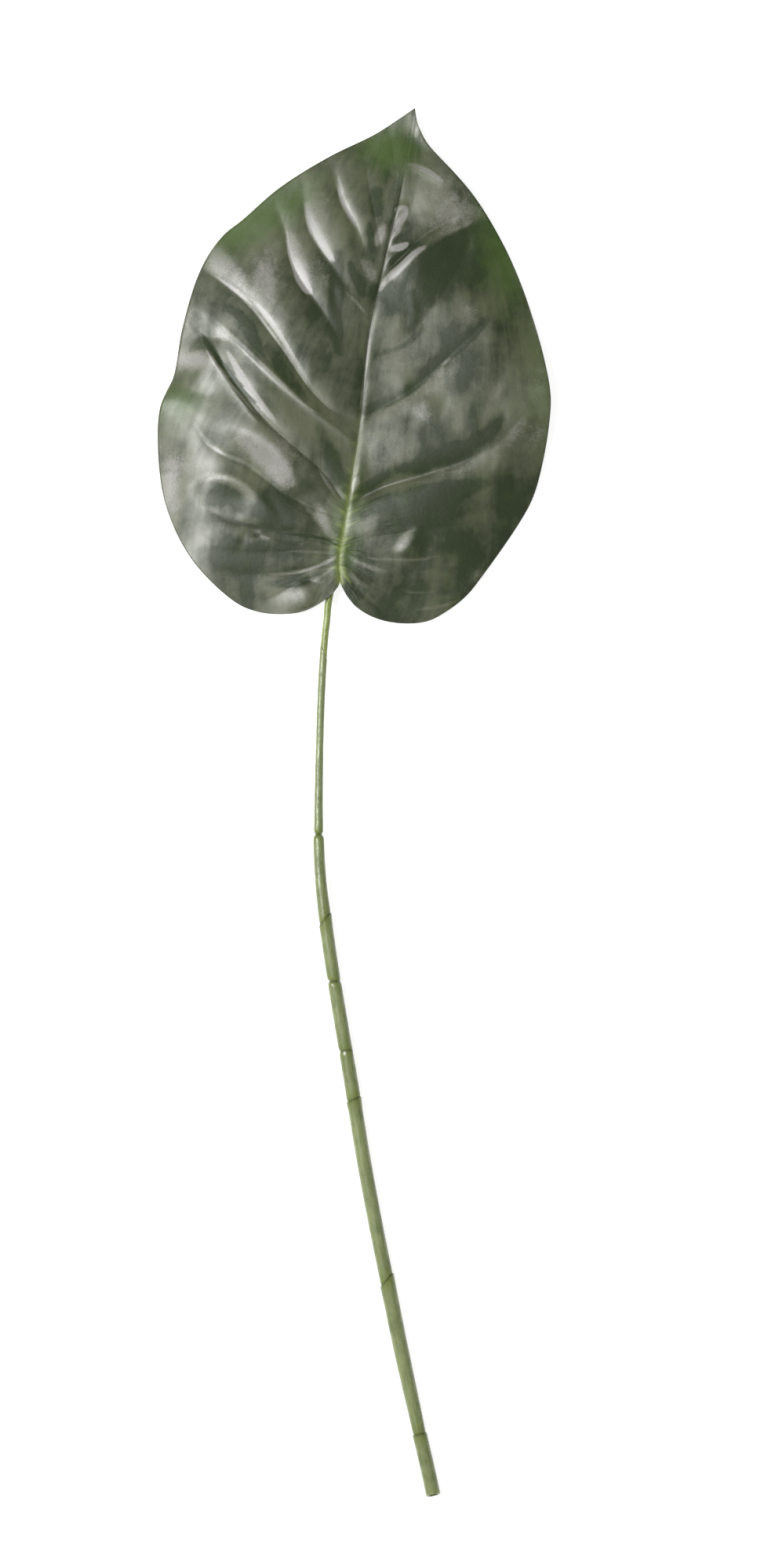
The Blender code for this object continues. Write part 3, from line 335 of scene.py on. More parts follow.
        (1.4, 1, 3, 1.5, [(-76.4, 234), (-74, 228), (-66.2, 215.7), (-58.5, 204.7), (-47.4, 191.3),
            (-37.2, 183)]),
        (2.8, 2, 8, 7, [(-72.9, 233.5), (-74, 220.5), (-78.4, 206.7)]),
        (0.6, 2, 6, 10, [(-65.8, 280.8), (-57.1, 267.4), (-47.6, 252.4)]),
        (3.4, 2, 22, 7.5, [(-74.4, 194.5), (-62, 190.5), (-47.6, 184), (-36.2, 176), (-28.5, 165),
            (-25, 154)]),
        (1.2, 1.3, 2.5, 6, [(-78.4, 154.6), (-74.4, 160.9), (-66.2, 163.7), (-55.9, 160.5),
            (-45.3, 151.4), (-38.9, 142.8)]),
        (1.6, 2, 5, 8, [(-21.6, 111.2), (-23.2, 102.5), (-24.7, 94.7)]),
        (1, 1.5, 4, 3, [(30.1, 348.6), (32.4, 340.8), (35.2, 333.7), (39.9, 328.1)]),
        (0.5, 1, 1.2, 1.2, [(25.7, 321.4), (35.2, 317.1), (47.8, 310)]),
        (2, 1.5, 3, 18, [(13.1, 256.7), (20.6, 266.6), (29.1, 274.1), (35.2, 280), (43.9, 285.1),
            (56, 289)]),
        (1, 1.5, 2.2, 2, [(15.1, 268.2), (19.4, 274.5), (24.2, 277.7), (30.5, 280.8)]),
        (0.9, 1.5, 2.2, 2.2, [(17.1, 279.2), (19.8, 284.8), (23.4, 288.7), (27.3, 291.9)]),
        (0.9, 1.5, 2.2, 2.2, [(19.8, 291.5), (21.4, 296.6), (24.2, 299), (28.1, 300.1)]),
        (1.5, 1.5, 3.4, 4, [(22.6, 123.4), (28.5, 129.8), (33.6, 139.6)]),
        (0.9, 1.5, 3, 4, [(57.3, 107.3), (62.8, 114.4), (67.5, 123.1)]),
        (-0.5, 1, 1.8, 1.8, [(-10.2, 126.6), (-27.9, 130.2), (-45.3, 134.1)]),
        (-0.5, 1, 1.8, 1.8, [(-11.7, 120.7), (-29.5, 115.2), (-41.7, 114)]),
        (-0.7, 1, 3, 3, [(-38.9, 165.3), (-31.1, 156.2), (-20.8, 143.6), (-12.1, 131.7)])],
    # x, y, two radii, turn in degrees, height
    bumps=[(37.2, 198.8, 5, 5, 0, 0.9), (-59.5, 151.4, 12, 8, 0, -1.8), (-49.6, 135.7, 2.2, 2.2, 0, -0.7),
        (2.5, 167.2, 4, 8, -10, 0.8)],
    ribDepth=2.2, ribWidth=9.0, ribFade=0.4, ribGroove=0.8, ribGrooveWidth=1.1, grooveEnd=0.86,
    grooveFade=12.0, veinFadeIn=4.0, veinLineWidth=0.9, veinLineDepth=2.6,
    puckers=260, puckerSeed=11, puckerHeight=0.16, puckerWidth=(2.0, 4.5), puckerLength=(5.0, 12.0),
    puckerTurn=0.15, puckerSway=18.0, puckerEdgeFade=12.0, puckerRibGap=4.0,
    # print and painted light: powers by which a route's ends fade and narrow, share of the width there and
    # its middle's gain
    endFade=0.3, taper=0.6, bandTaper=(0.45, 0.65), strokeTaper=(0.35, 0.8), farthestReach=4.0,
)

def bladeHeight(points):
    # smooth form, less the midrib's and each vein's depth times exp(-distance / width of that bank), plus
    # each fold's height times exp(-(distance / width of that bank)^sharpness), plus the round bumps
    height = blade["rise"] + plateHeight(points, np.array(blade["spots"]))
    fromRib, side, along = fromLine(points, smoothCurve(blade["midrib"], blade["ribSteps"]))
    ribDepth = blade["ribDepth"] * np.cos(blade["ribFade"] * math.pi * along)
    height -= ribDepth * np.exp(-fromRib / blade["ribWidth"])
    beforeTip = np.clip((blade["grooveEnd"] - along) * blade["grooveFade"], 0.0, 1.0)
    height -= blade["ribGroove"] * beforeTip * np.exp(-fromRib / blade["ribGrooveWidth"])
    for ownSide, veins in ((1.0, blade["leftVeins"]), (-1.0, blade["rightVeins"])):
        fade = np.where(side == ownSide, 1.0 - np.exp(-(fromRib / blade["veinFadeIn"]) ** 2), 0.0)
        for depth, stalkWidth, tipWidth, begin, end, route in veins:
            away, bank, along = fromLine(points, smoothCurve(route, blade["veinSteps"]))
            swell = np.maximum(np.sin(math.pi * (begin + (end - begin) * along)), 0.0)
            height -= depth * fade * swell * np.exp(-away / np.where(bank == ownSide, stalkWidth, tipWidth))
    for rise, sharpness, leftWidth, rightWidth, route in blade["folds"]:
        away, bank, along = fromLine(points, smoothCurve(route, blade["foldSteps"]))
        width = np.where(bank > 0.0, leftWidth, rightWidth)
        height += rise * np.sin(math.pi * along) * np.exp(-(away / width) ** sharpness)
    return height + spotMask(points, blade["bumps"])

def nearestShare(curve, point):
    # share of the curve at which it comes nearest to the point
    return np.linalg.norm(curve - np.array(point), axis=1).argmin() / (len(curve) - 1)

def halfPlan(rowPlace, share, edge, veins):
    # rows from midrib to edge: between two veins a row is their blend, moved so that its ends lie on the
    # midrib and on the edge (Coons patch)
    midrib = smoothCurve(blade["midrib"], blade["fineRibSteps"])
    edge = smoothCurve(edge, blade["fineEdgeSteps"])
    routes = [smoothCurve(vein[-1], blade["fineVeinSteps"]) for vein in veins]
    onRib = np.array([0.0] + [nearestShare(midrib, route[0]) for route in routes] + [1.0])
    onEdge = np.array([0.0] + [nearestShare(edge, route[-1]) for route in routes] + [1.0])
    lines = np.stack([np.repeat(midrib[:1], len(share), axis=0)]
                     + [alongCurve(route, share) for route in routes]
                     + [np.repeat(midrib[-1:], len(share), axis=0)])
    low = np.clip(np.searchsorted(onRib, rowPlace, side="right") - 1, 0, len(onRib) - 2)
    blend = ((rowPlace - onRib[low]) / (onRib[low + 1] - onRib[low]))[:, None, None]
    row = (1.0 - blend) * lines[low] + blend * lines[low + 1]
    start = alongCurve(midrib, rowPlace)[:, None, :] - row[:, :1]
    end = alongCurve(edge, np.interp(rowPlace, onRib, onEdge))[:, None, :] - row[:, -1:]
    t = share[None, :, None]
    return row + (1.0 - t) * start + t * end

def rowPlaces(count):
    # shares of the midrib at which rows start, so that they lie evenly between midrib and both edges
    tries = 2000
    fine = np.linspace(0.0, 1.0, tries)
    ends = np.array([0.0, 0.999999])  # the midrib and, a hair inside it, the edge
    spread = np.zeros(tries)
    for edge, veins in ((blade["leftEdge"], blade["leftVeins"]), (blade["rightEdge"], blade["rightVeins"])):
        plan = halfPlan(fine, ends, edge, veins)
        step = np.linalg.norm(np.diff(plan, axis=0), axis=2).sum(1)
        spread += np.append(0.0, np.cumsum(step))
    return np.interp(np.linspace(0.0, spread[-1], count), spread, fine)

def smallPuckers(points):
    # seeded scatter of long shallow bumps and dents, the unevenness of heat-pressed cloth
    dice = np.random.default_rng(blade["puckerSeed"])
    low, high = points.min(0), points.max(0)
    spots = []
    for number in range(blade["puckers"]):
        x, y = dice.uniform(low, high)
        wide, long = dice.uniform(*blade["puckerWidth"]), dice.uniform(*blade["puckerLength"])
        turn = dice.normal(-blade["puckerTurn"] * x, blade["puckerSway"])
        spots.append((x, y, wide, long, turn, dice.normal(0.0, blade["puckerHeight"])))
    return spotMask(points, spots)

def brushed(along, taper):
    # with arch = sin(pi * along): arch^0.3, by which the ends fade, and the width, least + more * arch^0.6
    least, more = taper
    arch = np.maximum(np.sin(math.pi * along), 0.0)
    return arch ** blade["endFade"], least + more * arch ** blade["taper"]

def printTone(points):
    # print with painted highlights and shade: the spots plus, for each band, strength * fade of its ends *
    # exp(-(distance / width of that side)^4)
    tone = spotMask(points, blade["toneSpots"])
    for strength, leftWidth, rightWidth, route in blade["toneBands"]:
        away, bank, along = fromLine(points, smoothCurve(route, blade["foldSteps"]))
        fade, width = brushed(along, blade["bandTaper"])
        width = width * np.where(bank > 0.0, leftWidth, rightWidth)
        tone += strength * fade * np.exp(-(away / width) ** 4)
    return tone

def nearestStroke(points):
    # the least of distance / half width over all strokes of print and painted light, and the strength of the
    # stroke that gives it
    reach, strength = np.full(len(points), blade["farthestReach"]), np.zeros(len(points))
    for full, wide, route in blade["toneStrokes"]:
        away, bank, along = fromLine(points, smoothCurve(route, blade["foldSteps"]))
        fade, width = brushed(along, blade["strokeTaper"])
        apart = away / (wide * width)
        closer = apart < reach
        reach[closer] = apart[closer]
        strength[closer] = full * fade[closer]
    return reach, strength

def veinMark(points):
    # painted shade along the vein creases: greatest over all veins of depth / the depth of full shade * (1 -
    # share passed)^0.5 * exp(-(distance / width)^2)
    mark = np.zeros(len(points))
    for depth, stalkWidth, tipWidth, begin, end, route in blade["leftVeins"] + blade["rightVeins"]:
        away, bank, along = fromLine(points, smoothCurve(route, blade["veinSteps"]))
        strength = depth / blade["veinLineDepth"] * (1.0 - along) ** 0.5
        mark = np.maximum(mark, strength * np.exp(-(away / blade["veinLineWidth"]) ** 2))
    return mark

def makeBlade():
    # both halves as one grid, lifted by height and puckers; Solidify gives the cloth its thickness
    rowPlace = rowPlaces(blade["rows"] + 2)[1:-1]
    share = np.linspace(0.0, 1.0, blade["columns"] + 1)
    left = halfPlan(rowPlace, share, blade["leftEdge"], blade["leftVeins"])
    right = halfPlan(rowPlace, share, blade["rightEdge"], blade["rightVeins"])
    plan = np.concatenate((left[:, :0:-1], right), axis=1)
    rows, columns = plan.shape[:2]
    flat = plan.reshape(-1, 2)
    fromRib, side, upRib = fromLine(flat, smoothCurve(blade["midrib"], blade["ribSteps"]))
    outward = np.tile(np.concatenate((share[:0:-1], share)), rows)
    offEdge = np.minimum(1.0, (1.0 - outward) * blade["puckerEdgeFade"])
    offRib = 1.0 - np.exp(-(fromRib / blade["puckerRibGap"]) ** 2)
    height = bladeHeight(flat) + smallPuckers(flat) * offEdge * offRib
    places = np.column_stack((flat, height)).reshape(rows, columns, 3)
    notchAndTip = np.array([blade["midrib"][0], blade["midrib"][-1]])
    poles = np.column_stack((notchAndTip, bladeHeight(notchAndTip)))
    reach, strength = nearestStroke(flat)
    # the print's tone with its painted highlights and shade, and the painted shade along the vein creases,
    # go to the shader as attributes
    values = dict(fromRib=fromRib, upRib=upRib, veinLine=veinMark(flat), tone=printTone(flat),
                  green=spotMask(flat, blade["greenSpots"]), strokeReach=reach, strokeTone=strength)
    step = np.linalg.norm(np.diff(plan, axis=1), axis=2)
    across = np.concatenate((np.zeros((rows, 1)), np.cumsum(step, axis=1)), axis=1)
    across -= across[:, [blade["columns"]]]
    alongRib = np.broadcast_to(rowPlace[:, None] * blade["flowLength"], (rows, columns))
    uv = np.stack((across, alongRib), axis=-1)
    item = gridMesh("hosta_blade", places, poles, uv=uv, values=values)
    wall = item.modifiers.new("cloth", "SOLIDIFY")
    wall.thickness, wall.offset, wall.material_offset = blade["thickness"] * metresPerMm, 0.0, 1
    return item

# Stalk: one centre line from the rib's tip to the stem's cut end
stalk = dict(
    rib=[(17.5, 282.8), (14.7, 268.6), (11.1, 252.8), (7.6, 233.5), (6, 215.7), (3.3, 190.9), (-1.1, 166.4),
        (-4.2, 140.4), (-5.8, 128.6)],
    neck=[(-6.8, 122.3), (-8.2, 116.7), (-10.2, 111.2), (-11.7, 105.7), (-12.8, 99.4), (-13.4, 92.3),
        (-14.3, 84.4), (-15, 75.7)],
    stem=[(-15.9, 61.5), (-16.7, 41), (-17.3, 17.4), (-17.6, -6.3), (-17.5, -20.5), (-16.5, -39.4),
        (-14.1, -59.9), (-10.7, -83.6), (-6.6, -108.9), (-1.3, -140.4), (4.4, -175.9), (10.9, -211.4),
        (17.3, -243), (24.2, -276.9)],
    flat=[(31.5, -310), (33.2, -317.9), (36.9, -333.8), (40.2, -349)],
    ribGap=0.7, topHeight=8.0, settle=1.1, endHeight=3.58, ribTipRadius=0.7, ribBaseRadius=1.6, steps=1400,
)

def stalkRoute():
    # the rib hangs under the blade, the neck slopes to the stem's top, and the stem settles to lie flat
    rib, neck, stem, flat = (np.array(stalk[key]) for key in ("rib", "neck", "stem", "flat"))
    top, low = stalk["topHeight"], stalk["endHeight"]
    radius = np.linspace(stalk["ribTipRadius"], stalk["ribBaseRadius"], len(rib))
    midrib = smoothCurve(blade["midrib"], blade["fineRibSteps"])
    above = midrib[np.linalg.norm(rib[:, None] - midrib, axis=2).argmin(1)]
    ribHeight = bladeHeight(above) - 0.5 * blade["thickness"] - stalk["ribGap"] - radius
    neckHeight = np.linspace(ribHeight[-1], top, len(neck) + 1)[1:]
    left = (stem[:, 1] - flat[0, 1]) / (neck[-1, 1] - flat[0, 1])
    stemHeight = low + (top - low) * left ** stalk["settle"]
    heights = np.concatenate((ribHeight, neckHeight, stemHeight, np.full(len(flat), low)))
    line = smoothCurve(np.column_stack((np.concatenate((rib, neck, stem, flat)), heights)), stalk["steps"])
    place = lengthAlong(line)
    mouth = np.linalg.norm(line - np.append(neck[-1], top), axis=1).argmin()
    return line, place - place[mouth]

def alongRoute(route, place, angle, radius):
    # a point lies at its place along the route, out by its radius: right * cos(angle) + up * sin(angle)
    line, along = route
    centre = interpolate(place, along, line)
    forward = interpolate(place, along, np.gradient(line, along, axis=0))
    forward /= np.linalg.norm(forward, axis=-1, keepdims=True)
    beyond = np.maximum(place - along[-1], 0.0)[..., None]
    right = np.cross(np.array([0.0, 0.0, 1.0]), forward)
    right /= np.linalg.norm(right, axis=-1, keepdims=True)
    up = np.cross(forward, right)
    out = np.cos(angle)[..., None] * right + np.sin(angle)[..., None] * up
    return centre + beyond * forward + radius[..., None] * out

def ringAngles(sides):
    # evenly spaced angles of a ring's points, from 0 to just below 2 pi
    return np.linspace(0.0, 2.0 * math.pi, sides, endpoint=False)[None, :]

def tubeMesh(name, route, place, shift, angle, out, joint):
    # rings along the route, each point moved along it by its shift; points of the route close both ends
    place, angle, out, joint = np.broadcast_arrays(place, angle, out, joint)
    ends = alongRoute(route, place[[0, -1], 0], np.zeros(2), np.zeros(2))
    places = alongRoute(route, place + shift, angle, out)
    return gridMesh(name, places, ends, wrap=True, values=dict(place=place, joint=joint, turn=angle))

stem = dict(
    sides=56, spacing=1.6, mouthSlant=-7.1, slantReach=8.0, socketRadius=1.3, socketDepth=11.0,
    wall=1.1, hollow=3.0, cutTilt=0.34, cutTiltReach=6.0, edge=0.15,
    # place along the stem and radius, one list from joint to joint
    segments=[
        [(0, 1.95), (45, 1.9), (77, 2.15), (91.7, 2.4)],
        [(91.7, 2.7), (114, 2.85), (134.5, 3.2)],
        [(134.5, 3.5), (140, 3.35), (166.1, 3.3)],
        [(166.1, 3.4), (201.6, 3.5)],
        [(201.6, 3.5), (226.5, 3.6)],
        [(226.5, 3.9), (233, 3.6), (319, 3.55)],
        [(319, 4), (333, 3.85), (360, 3.75), (398.5, 3.3)],
        [(398.5, 3.65), (429.9, 3.65)]],
    # neck radius of a waist, or None for a lip that holds the segment above; slant; how far it is left only
    joints=[(1.6, 0.0, 0.0), (None, 6.0, 0.0), (2.5, -1.0, 0.5), (2.8, 0.0, 1.0), (None, 2.0, 0.0),
            (None, 5.8, 0.0), (None, 0.0, 0.0)],
    # distances of the close rings from a joint, and where the evenly spaced ones begin
    nearJoint=[0.0, 0.2, 0.4, 0.7, 1.1, 1.6, 2.3], evenFrom=3.5,
    waistReach=0.9, waistPower=1.4, leftPower=1.5, lipDepth=0.9, lipWall=0.4, groove=0.3, grooveReach=0.8,
    seam=0.06, seamAngles=(62.0, 242.0), seamWidth=0.09, jointReach=4.5,
)

def plainRings(*rings):
    # rings of a place and a radius, without a dent
    return [(place, radius, 0.0, 0.0) for place, radius in rings]

def stemStations():
    # place, radius, dent and how far the dent is left only, ring by ring from the socket's floor up to the
    # mouth and down to the cut end; a waist's dent is (radius - neck) * exp(-(distance / reach)^1.4)
    edge, segments, joints, socket = stem["edge"], stem["segments"], stem["joints"], stem["socketRadius"]
    rings = plainRings((stem["socketDepth"], socket), (0.0, socket), (0.0, segments[0][0][1] - edge))
    near, plain = np.array(stem["nearJoint"]), (None, 0.0, 0.0)
    for number, segment in enumerate(segments):
        top = joints[number - 1] if number else plain
        foot = joints[number] if number < len(joints) else plain
        start, end = segment[0][0], segment[-1][0]
        inner = np.arange(start + stem["evenFrom"], end - stem["evenFrom"], stem["spacing"])
        places = np.concatenate((start + near, inner, end - near[::-1]))
        radii = np.interp(places, *np.array(segment).T)
        fromTop, fromFoot = places - start, end - places
        dent, sided = np.zeros(len(places)), np.zeros(len(places))
        for (neck, slant, side), away, full in ((top, fromTop, radii[0]), (foot, fromFoot, radii[-1])):
            if neck:
                pull = (full - neck) * np.exp(-(away / stem["waistReach"]) ** stem["waistPower"])
                sided = np.where(pull > dent, side, sided)
                dent = np.maximum(dent, pull)
        if number and not top[0]:
            lip, depth = radii[0] - stem["lipWall"], start + stem["lipDepth"]
            bottom = np.interp(start, *np.array(segments[number - 1]).T) - stem["groove"]
            rings += plainRings((depth, bottom), (depth, lip), (start + edge, lip), (start, lip + edge),
                                (start, radii[0] - edge))
            places[0] += edge
        if number < len(joints) and not foot[0]:
            radii = radii - stem["groove"] * np.exp(-fromFoot / stem["grooveReach"])
        rings += list(zip(places, radii, dent, sided))
    end, radius = segments[-1][-1]
    inside = radius - stem["wall"]
    return np.array(rings + plainRings((end + edge, radius - edge), (end + edge, inside + edge),
                                       (end, inside), (end - stem["hollow"], inside)))

def slantShift(place, angle, out, joint, slant, radius):
    # rings near a joint tip by -0.5 * slant * share of the radius to the right * exp(-(distance / reach)^2)
    near = np.exp(-((place - joint) / stem["slantReach"]) ** 2)
    return -0.5 * slant * out * np.cos(angle) / radius * near

def makeStem(route):
    # rings with waists, two raised mould seams, slanted joints and an oblique cut end
    place, radius, dent, sided = stemStations().T[..., None]
    angle = ringAngles(stem["sides"])
    leftShare = (0.5 - 0.5 * np.cos(angle)) ** stem["leftPower"]
    out = radius - dent * (1.0 - sided + sided * leftShare)
    outside = radius > stem["socketRadius"]
    for seamAngle in np.radians(stem["seamAngles"]):
        apart = np.abs((angle - seamAngle + math.pi) % (2.0 * math.pi) - math.pi)
        out = out + outside * stem["seam"] * np.exp(-(apart / stem["seamWidth"]) ** 2)
    shift = slantShift(place, angle, out, 0.0, stem["mouthSlant"], stem["segments"][0][0][1])
    joint = np.zeros(place.shape)
    for segment, (neck, slant, side) in zip(stem["segments"][1:], stem["joints"]):
        start, radius = segment[0]
        shift = shift + slantShift(place, angle, out, start, slant, radius)
        joint = np.maximum(joint, np.exp(-np.abs(place - start) / stem["jointReach"]))
    nearCut = np.exp(-((place - stem["segments"][-1][-1][0]) / stem["cutTiltReach"]) ** 2)
    shift = shift - stem["cutTilt"] * out * np.sin(angle) * nearCut
    return tubeMesh("hosta_stem", route, place, shift, angle, out, joint)

petiole = dict(
    sides=40, spacing=1.6, length=50.0, radius=1.78, plugRadius=1.0, plugLength=10.0, shoulder=-0.1,
    shoulderGap=1.0, tipGap=1.0, tipShare=0.6,
)

def makePetiole(route):
    # rib widening evenly from its tip to the blade's base, then the neck, a slanted shoulder and the plug
    tip, shoulder = route[1][0] + petiole["tipGap"], petiole["shoulder"]
    small, plug = stalk["ribTipRadius"], petiole["plugRadius"]
    stops = np.array([(tip + small, small), (-petiole["length"], stalk["ribBaseRadius"]),
                      (-0.5 * petiole["length"], petiole["radius"]), (shoulder, petiole["radius"])])
    body = np.append(np.arange(tip + small, shoulder - petiole["shoulderGap"], petiole["spacing"]), shoulder)
    rings = np.concatenate(([(tip, petiole["tipShare"] * small)],
                            np.column_stack((body, np.interp(body, *stops.T))),
                            [(shoulder, plug), (petiole["plugLength"], plug)]))
    place, radius = rings.T[..., None]
    angle = ringAngles(petiole["sides"])
    shift = slantShift(place, angle, radius, 0.0, stem["mouthSlant"], stem["segments"][0][0][1])
    return tubeMesh("hosta_petiole", route, place, shift, angle, radius, np.zeros(place.shape))

# Materials
class Value:
    # a socket in a sum: each operator adds one Math node
    def __init__(self, tree, socket):
        self.tree, self.socket = tree, socket

    def maths(self, operation, *items):
        node = self.tree.nodes.new("ShaderNodeMath")
        node.operation = operation
        for place, item in enumerate(items):
            if isinstance(item, Value):
                self.tree.links.new(item.socket, node.inputs[place])
            else:
                node.inputs[place].default_value = item
        return Value(self.tree, node.outputs[0])

    def __add__(self, other):
        return self.maths("ADD", self, other)

    def __sub__(self, other):
        return self.maths("SUBTRACT", self, other)

    def __rsub__(self, other):
        return self.maths("SUBTRACT", other, self)

    def __mul__(self, other):
        return self.maths("MULTIPLY", self, other)

    def __truediv__(self, other):
        return self.maths("DIVIDE", self, other)

    def __pow__(self, other):
        return self.maths("POWER", self, other)

    __radd__, __rmul__ = __add__, __mul__

    def clamp(self):
        # held between 0 and 1
        return self.maths("MINIMUM", self.maths("MAXIMUM", self, 0.0), 1.0)

    def fall(self):
        # exp(-value^2)
        return self.maths("EXPONENT", 0.0 - self ** 2.0)

class Finish:
    # one material: its shader and one method that adds any node
    def __init__(self, name, **sockets):
        self.material = bpy.data.materials.new(name)
        self.material.use_nodes = True
        self.tree = self.material.node_tree
        self.shader = self.tree.nodes["Principled BSDF"]
        for key, value in sockets.items():
            self.shader.inputs[key.replace("_", " ")].default_value = value

    def node(self, kind, settings=None, inputs=None, output=0):
        node = self.tree.nodes.new("ShaderNode" + kind)
        for key, value in (settings or {}).items():
            setattr(node, key, value)
        for key, value in (inputs or {}).items():
            if isinstance(value, Value):
                self.tree.links.new(value.socket, node.inputs[key])
            else:
                node.inputs[key].default_value = value
        return Value(self.tree, node.outputs[output])

    def attribute(self, name):
        return self.node("Attribute", {"attribute_name": name}, output="Fac")

    def noise(self, vector, scale, detail, roughness):
        # three scales stretch the pattern through a Mapping node, one sets the noise's own scale
        if isinstance(scale, tuple):
            vector, scale = self.node("Mapping", None, {"Vector": vector, "Scale": scale}), 1.0
        inputs = {"Vector": vector, "Scale": scale, "Detail": detail, "Roughness": roughness}
        return self.node("TexNoise", None, inputs)

    def blend(self, factor, first, second):
        def colour(item):
            return item if isinstance(item, Value) else (*item, 1.0)
        inputs = {0: factor, 6: colour(first), 7: colour(second)}
        return self.node("Mix", {"data_type": "RGBA"}, inputs, output=2)

    def bump(self, height, distance, strength, below=None):
        inputs = {"Height": height, "Distance": distance, "Strength": strength}
        if below:
            inputs["Normal"] = below
        return self.node("Bump", None, inputs)

    def feed(self, **sockets):
        for key, value in sockets.items():
            self.tree.links.new(value.socket, self.shader.inputs[key.replace("_", " ")])
        return self.material

def weigh(fields, base, **shares):
    # the base plus each named field times its share, kept between 0 and 1
    total = base
    for name, share in shares.items():
        total = fields[name] * share + total
    return total.clamp()

satin = dict(
    # the silver colour is a painted sheen highlight
    dark=(0.022, 0.032, 0.013), pale=(0.086, 0.091, 0.049), silver=(0.250, 0.240, 0.230),
    # the last colour here paints shade along the vein creases and in the midrib's groove
    green=(0.052, 0.090, 0.018), rib=(0.200, 0.250, 0.070), line=(0.030, 0.038, 0.018),
    silverShare=0.8, greenShare=0.9, strokeRagged=0.9, toneRagged=0.7, roughness=0.45, roughnessSway=0.10,
    # scale of each noise, its detail and roughness; those of the flow run with the cloth's rows
    flow=dict(streak=((70.0, 30.0, 1.0), 4.0, 0.55), fine=((420.0, 90.0, 1.0), 3.0, 0.6),
              crease=((30.0, 230.0, 1.0), 3.0, 0.55)),
    place=dict(patch=(34.0, 4.0, 0.55), ragged=(190.0, 6.0, 0.7), grain=(2600.0, 1.0, 0.5),
               speck=(1300.0, 2.0, 0.6)),
    # the green of the rib and its feathers, and the painted shade in its groove: where along the rib it ends
    # and how fast, widths in mm
    baseReach=1.1, baseFade=2.6, featherFrom=0.52, featherGain=5.0, ribWidth=1.1, ribBaseWidth=0.7,
    featherWidth=7.5, ribStrength=0.35, ribLineWidth=0.6, ribLineReach=9.6, ribLineFade=11.5,
    creaseWidth=26.0, creaseFade=4.5,
    # depth and strength of each bump
    creaseBump=(0.0034, 0.9), raggedBump=(0.0010, 0.25), grainBump=(0.00012, 0.5),
)

def satinCloth():
    # printed cloth with a green rib, painted highlights and shade, a painted silver sheen and painted shade
    # in its creases; the coat's strength gives the satin its reflected sheen
    finish = Finish("satin_leaf_cloth", Specular_IOR_Level=0.35, Coat_Roughness=0.44, Coat_IOR=1.75,
                    Sheen_Weight=0.08, Sheen_Roughness=0.4)
    flow = finish.node("UVMap", {"uv_map": "flow"})
    place = finish.node("TexCoord", None, output="Object")
    noise = {name: finish.noise(flow, *kind) for name, kind in satin["flow"].items()}
    noise.update({name: finish.noise(place, *kind) for name, kind in satin["place"].items()})
    fields = {name: value - 0.5 for name, value in noise.items()}
    for name in ("tone", "strokeReach", "strokeTone", "green", "fromRib", "upRib", "veinLine"):
        fields[name] = finish.attribute(name)
    fromRib, upRib = fields["fromRib"], fields["upRib"]
    # print, worked from dark to pale by a tone that also paints highlights and shade, then the painted
    # silver sheen, then green
    reach = fields["strokeReach"] + fields["ragged"] * satin["strokeRagged"]
    stroke = fields["strokeTone"] * (reach * reach).fall()
    fields["tone"] = fields["tone"] + fields["ragged"] * satin["toneRagged"] + stroke
    fields["pale"] = weigh(fields, 0.42, streak=1.9, patch=2.9, fine=0.3, tone=0.8)
    colour = finish.blend(fields["pale"], satin["dark"], satin["pale"])
    # painted sheen highlight: a silver colour, with glints, where the tone runs high, standing in for the
    # satin's reflection
    silver = weigh(fields, -0.455, tone=1.3, ragged=0.9, speck=1.2) * satin["silverShare"]
    colour = finish.blend(silver, colour, satin["silver"])
    fields["printed"] = weigh(fields, 0.0, green=1.0, ragged=1.0, patch=0.8) * satin["greenShare"]
    colour = finish.blend(fields["printed"], colour, satin["green"])
    # the rib's green towards the stalk, with feathers of it along the creases, and painted shade in its
    # groove above
    base = (satin["baseReach"] - upRib * satin["baseFade"]).clamp()
    feather = ((noise["crease"] - satin["featherFrom"]) * satin["featherGain"]).clamp() * base
    ribWidth = satin["ribWidth"] + base * satin["ribBaseWidth"] + feather * satin["featherWidth"]
    rib = (fromRib / ribWidth).fall() * base * (satin["ribStrength"] + noise["ragged"])
    colour = finish.blend(rib.clamp(), colour, satin["rib"])
    fields["groove"] = ((fromRib / satin["ribLineWidth"]).fall() * (1.0 - base)
                        * (satin["ribLineReach"] - upRib * satin["ribLineFade"]).clamp())
    # painted shade along the vein creases and in the midrib's groove
    fields["line"] = weigh(fields, 0.0, veinLine=0.2, groove=0.8)
    colour = finish.blend(fields["line"], colour, satin["line"])
    fields["silverSpeck"] = fields["speck"] * silver
    sheen = weigh(fields, 0.11, pale=0.74, fine=0.2, speck=0.25, silverSpeck=1.0, printed=-0.2, line=-0.3)
    roughness = satin["roughness"] + fields["grain"] * satin["roughnessSway"]
    nearBase = (fromRib / satin["creaseWidth"]).fall() * (1.0 - upRib * satin["creaseFade"]).clamp()
    normal = finish.bump(noise["crease"] * nearBase, *satin["creaseBump"])
    normal = finish.bump(noise["ragged"], *satin["raggedBump"], normal)
    normal = finish.bump(noise["grain"], *satin["grainBump"], normal)
    return finish.feed(Base_Color=colour, Roughness=roughness, Normal=normal, Coat_Weight=sheen)

backCloth = dict(
    dull=(0.075, 0.105, 0.052), bright=(0.140, 0.170, 0.095), roughness=0.60, roughnessSway=0.15,
    patch=(60.0, 3.0, 0.5), grain=(2200.0, 1.0, 0.5), bump=(0.0001, 0.4),
)

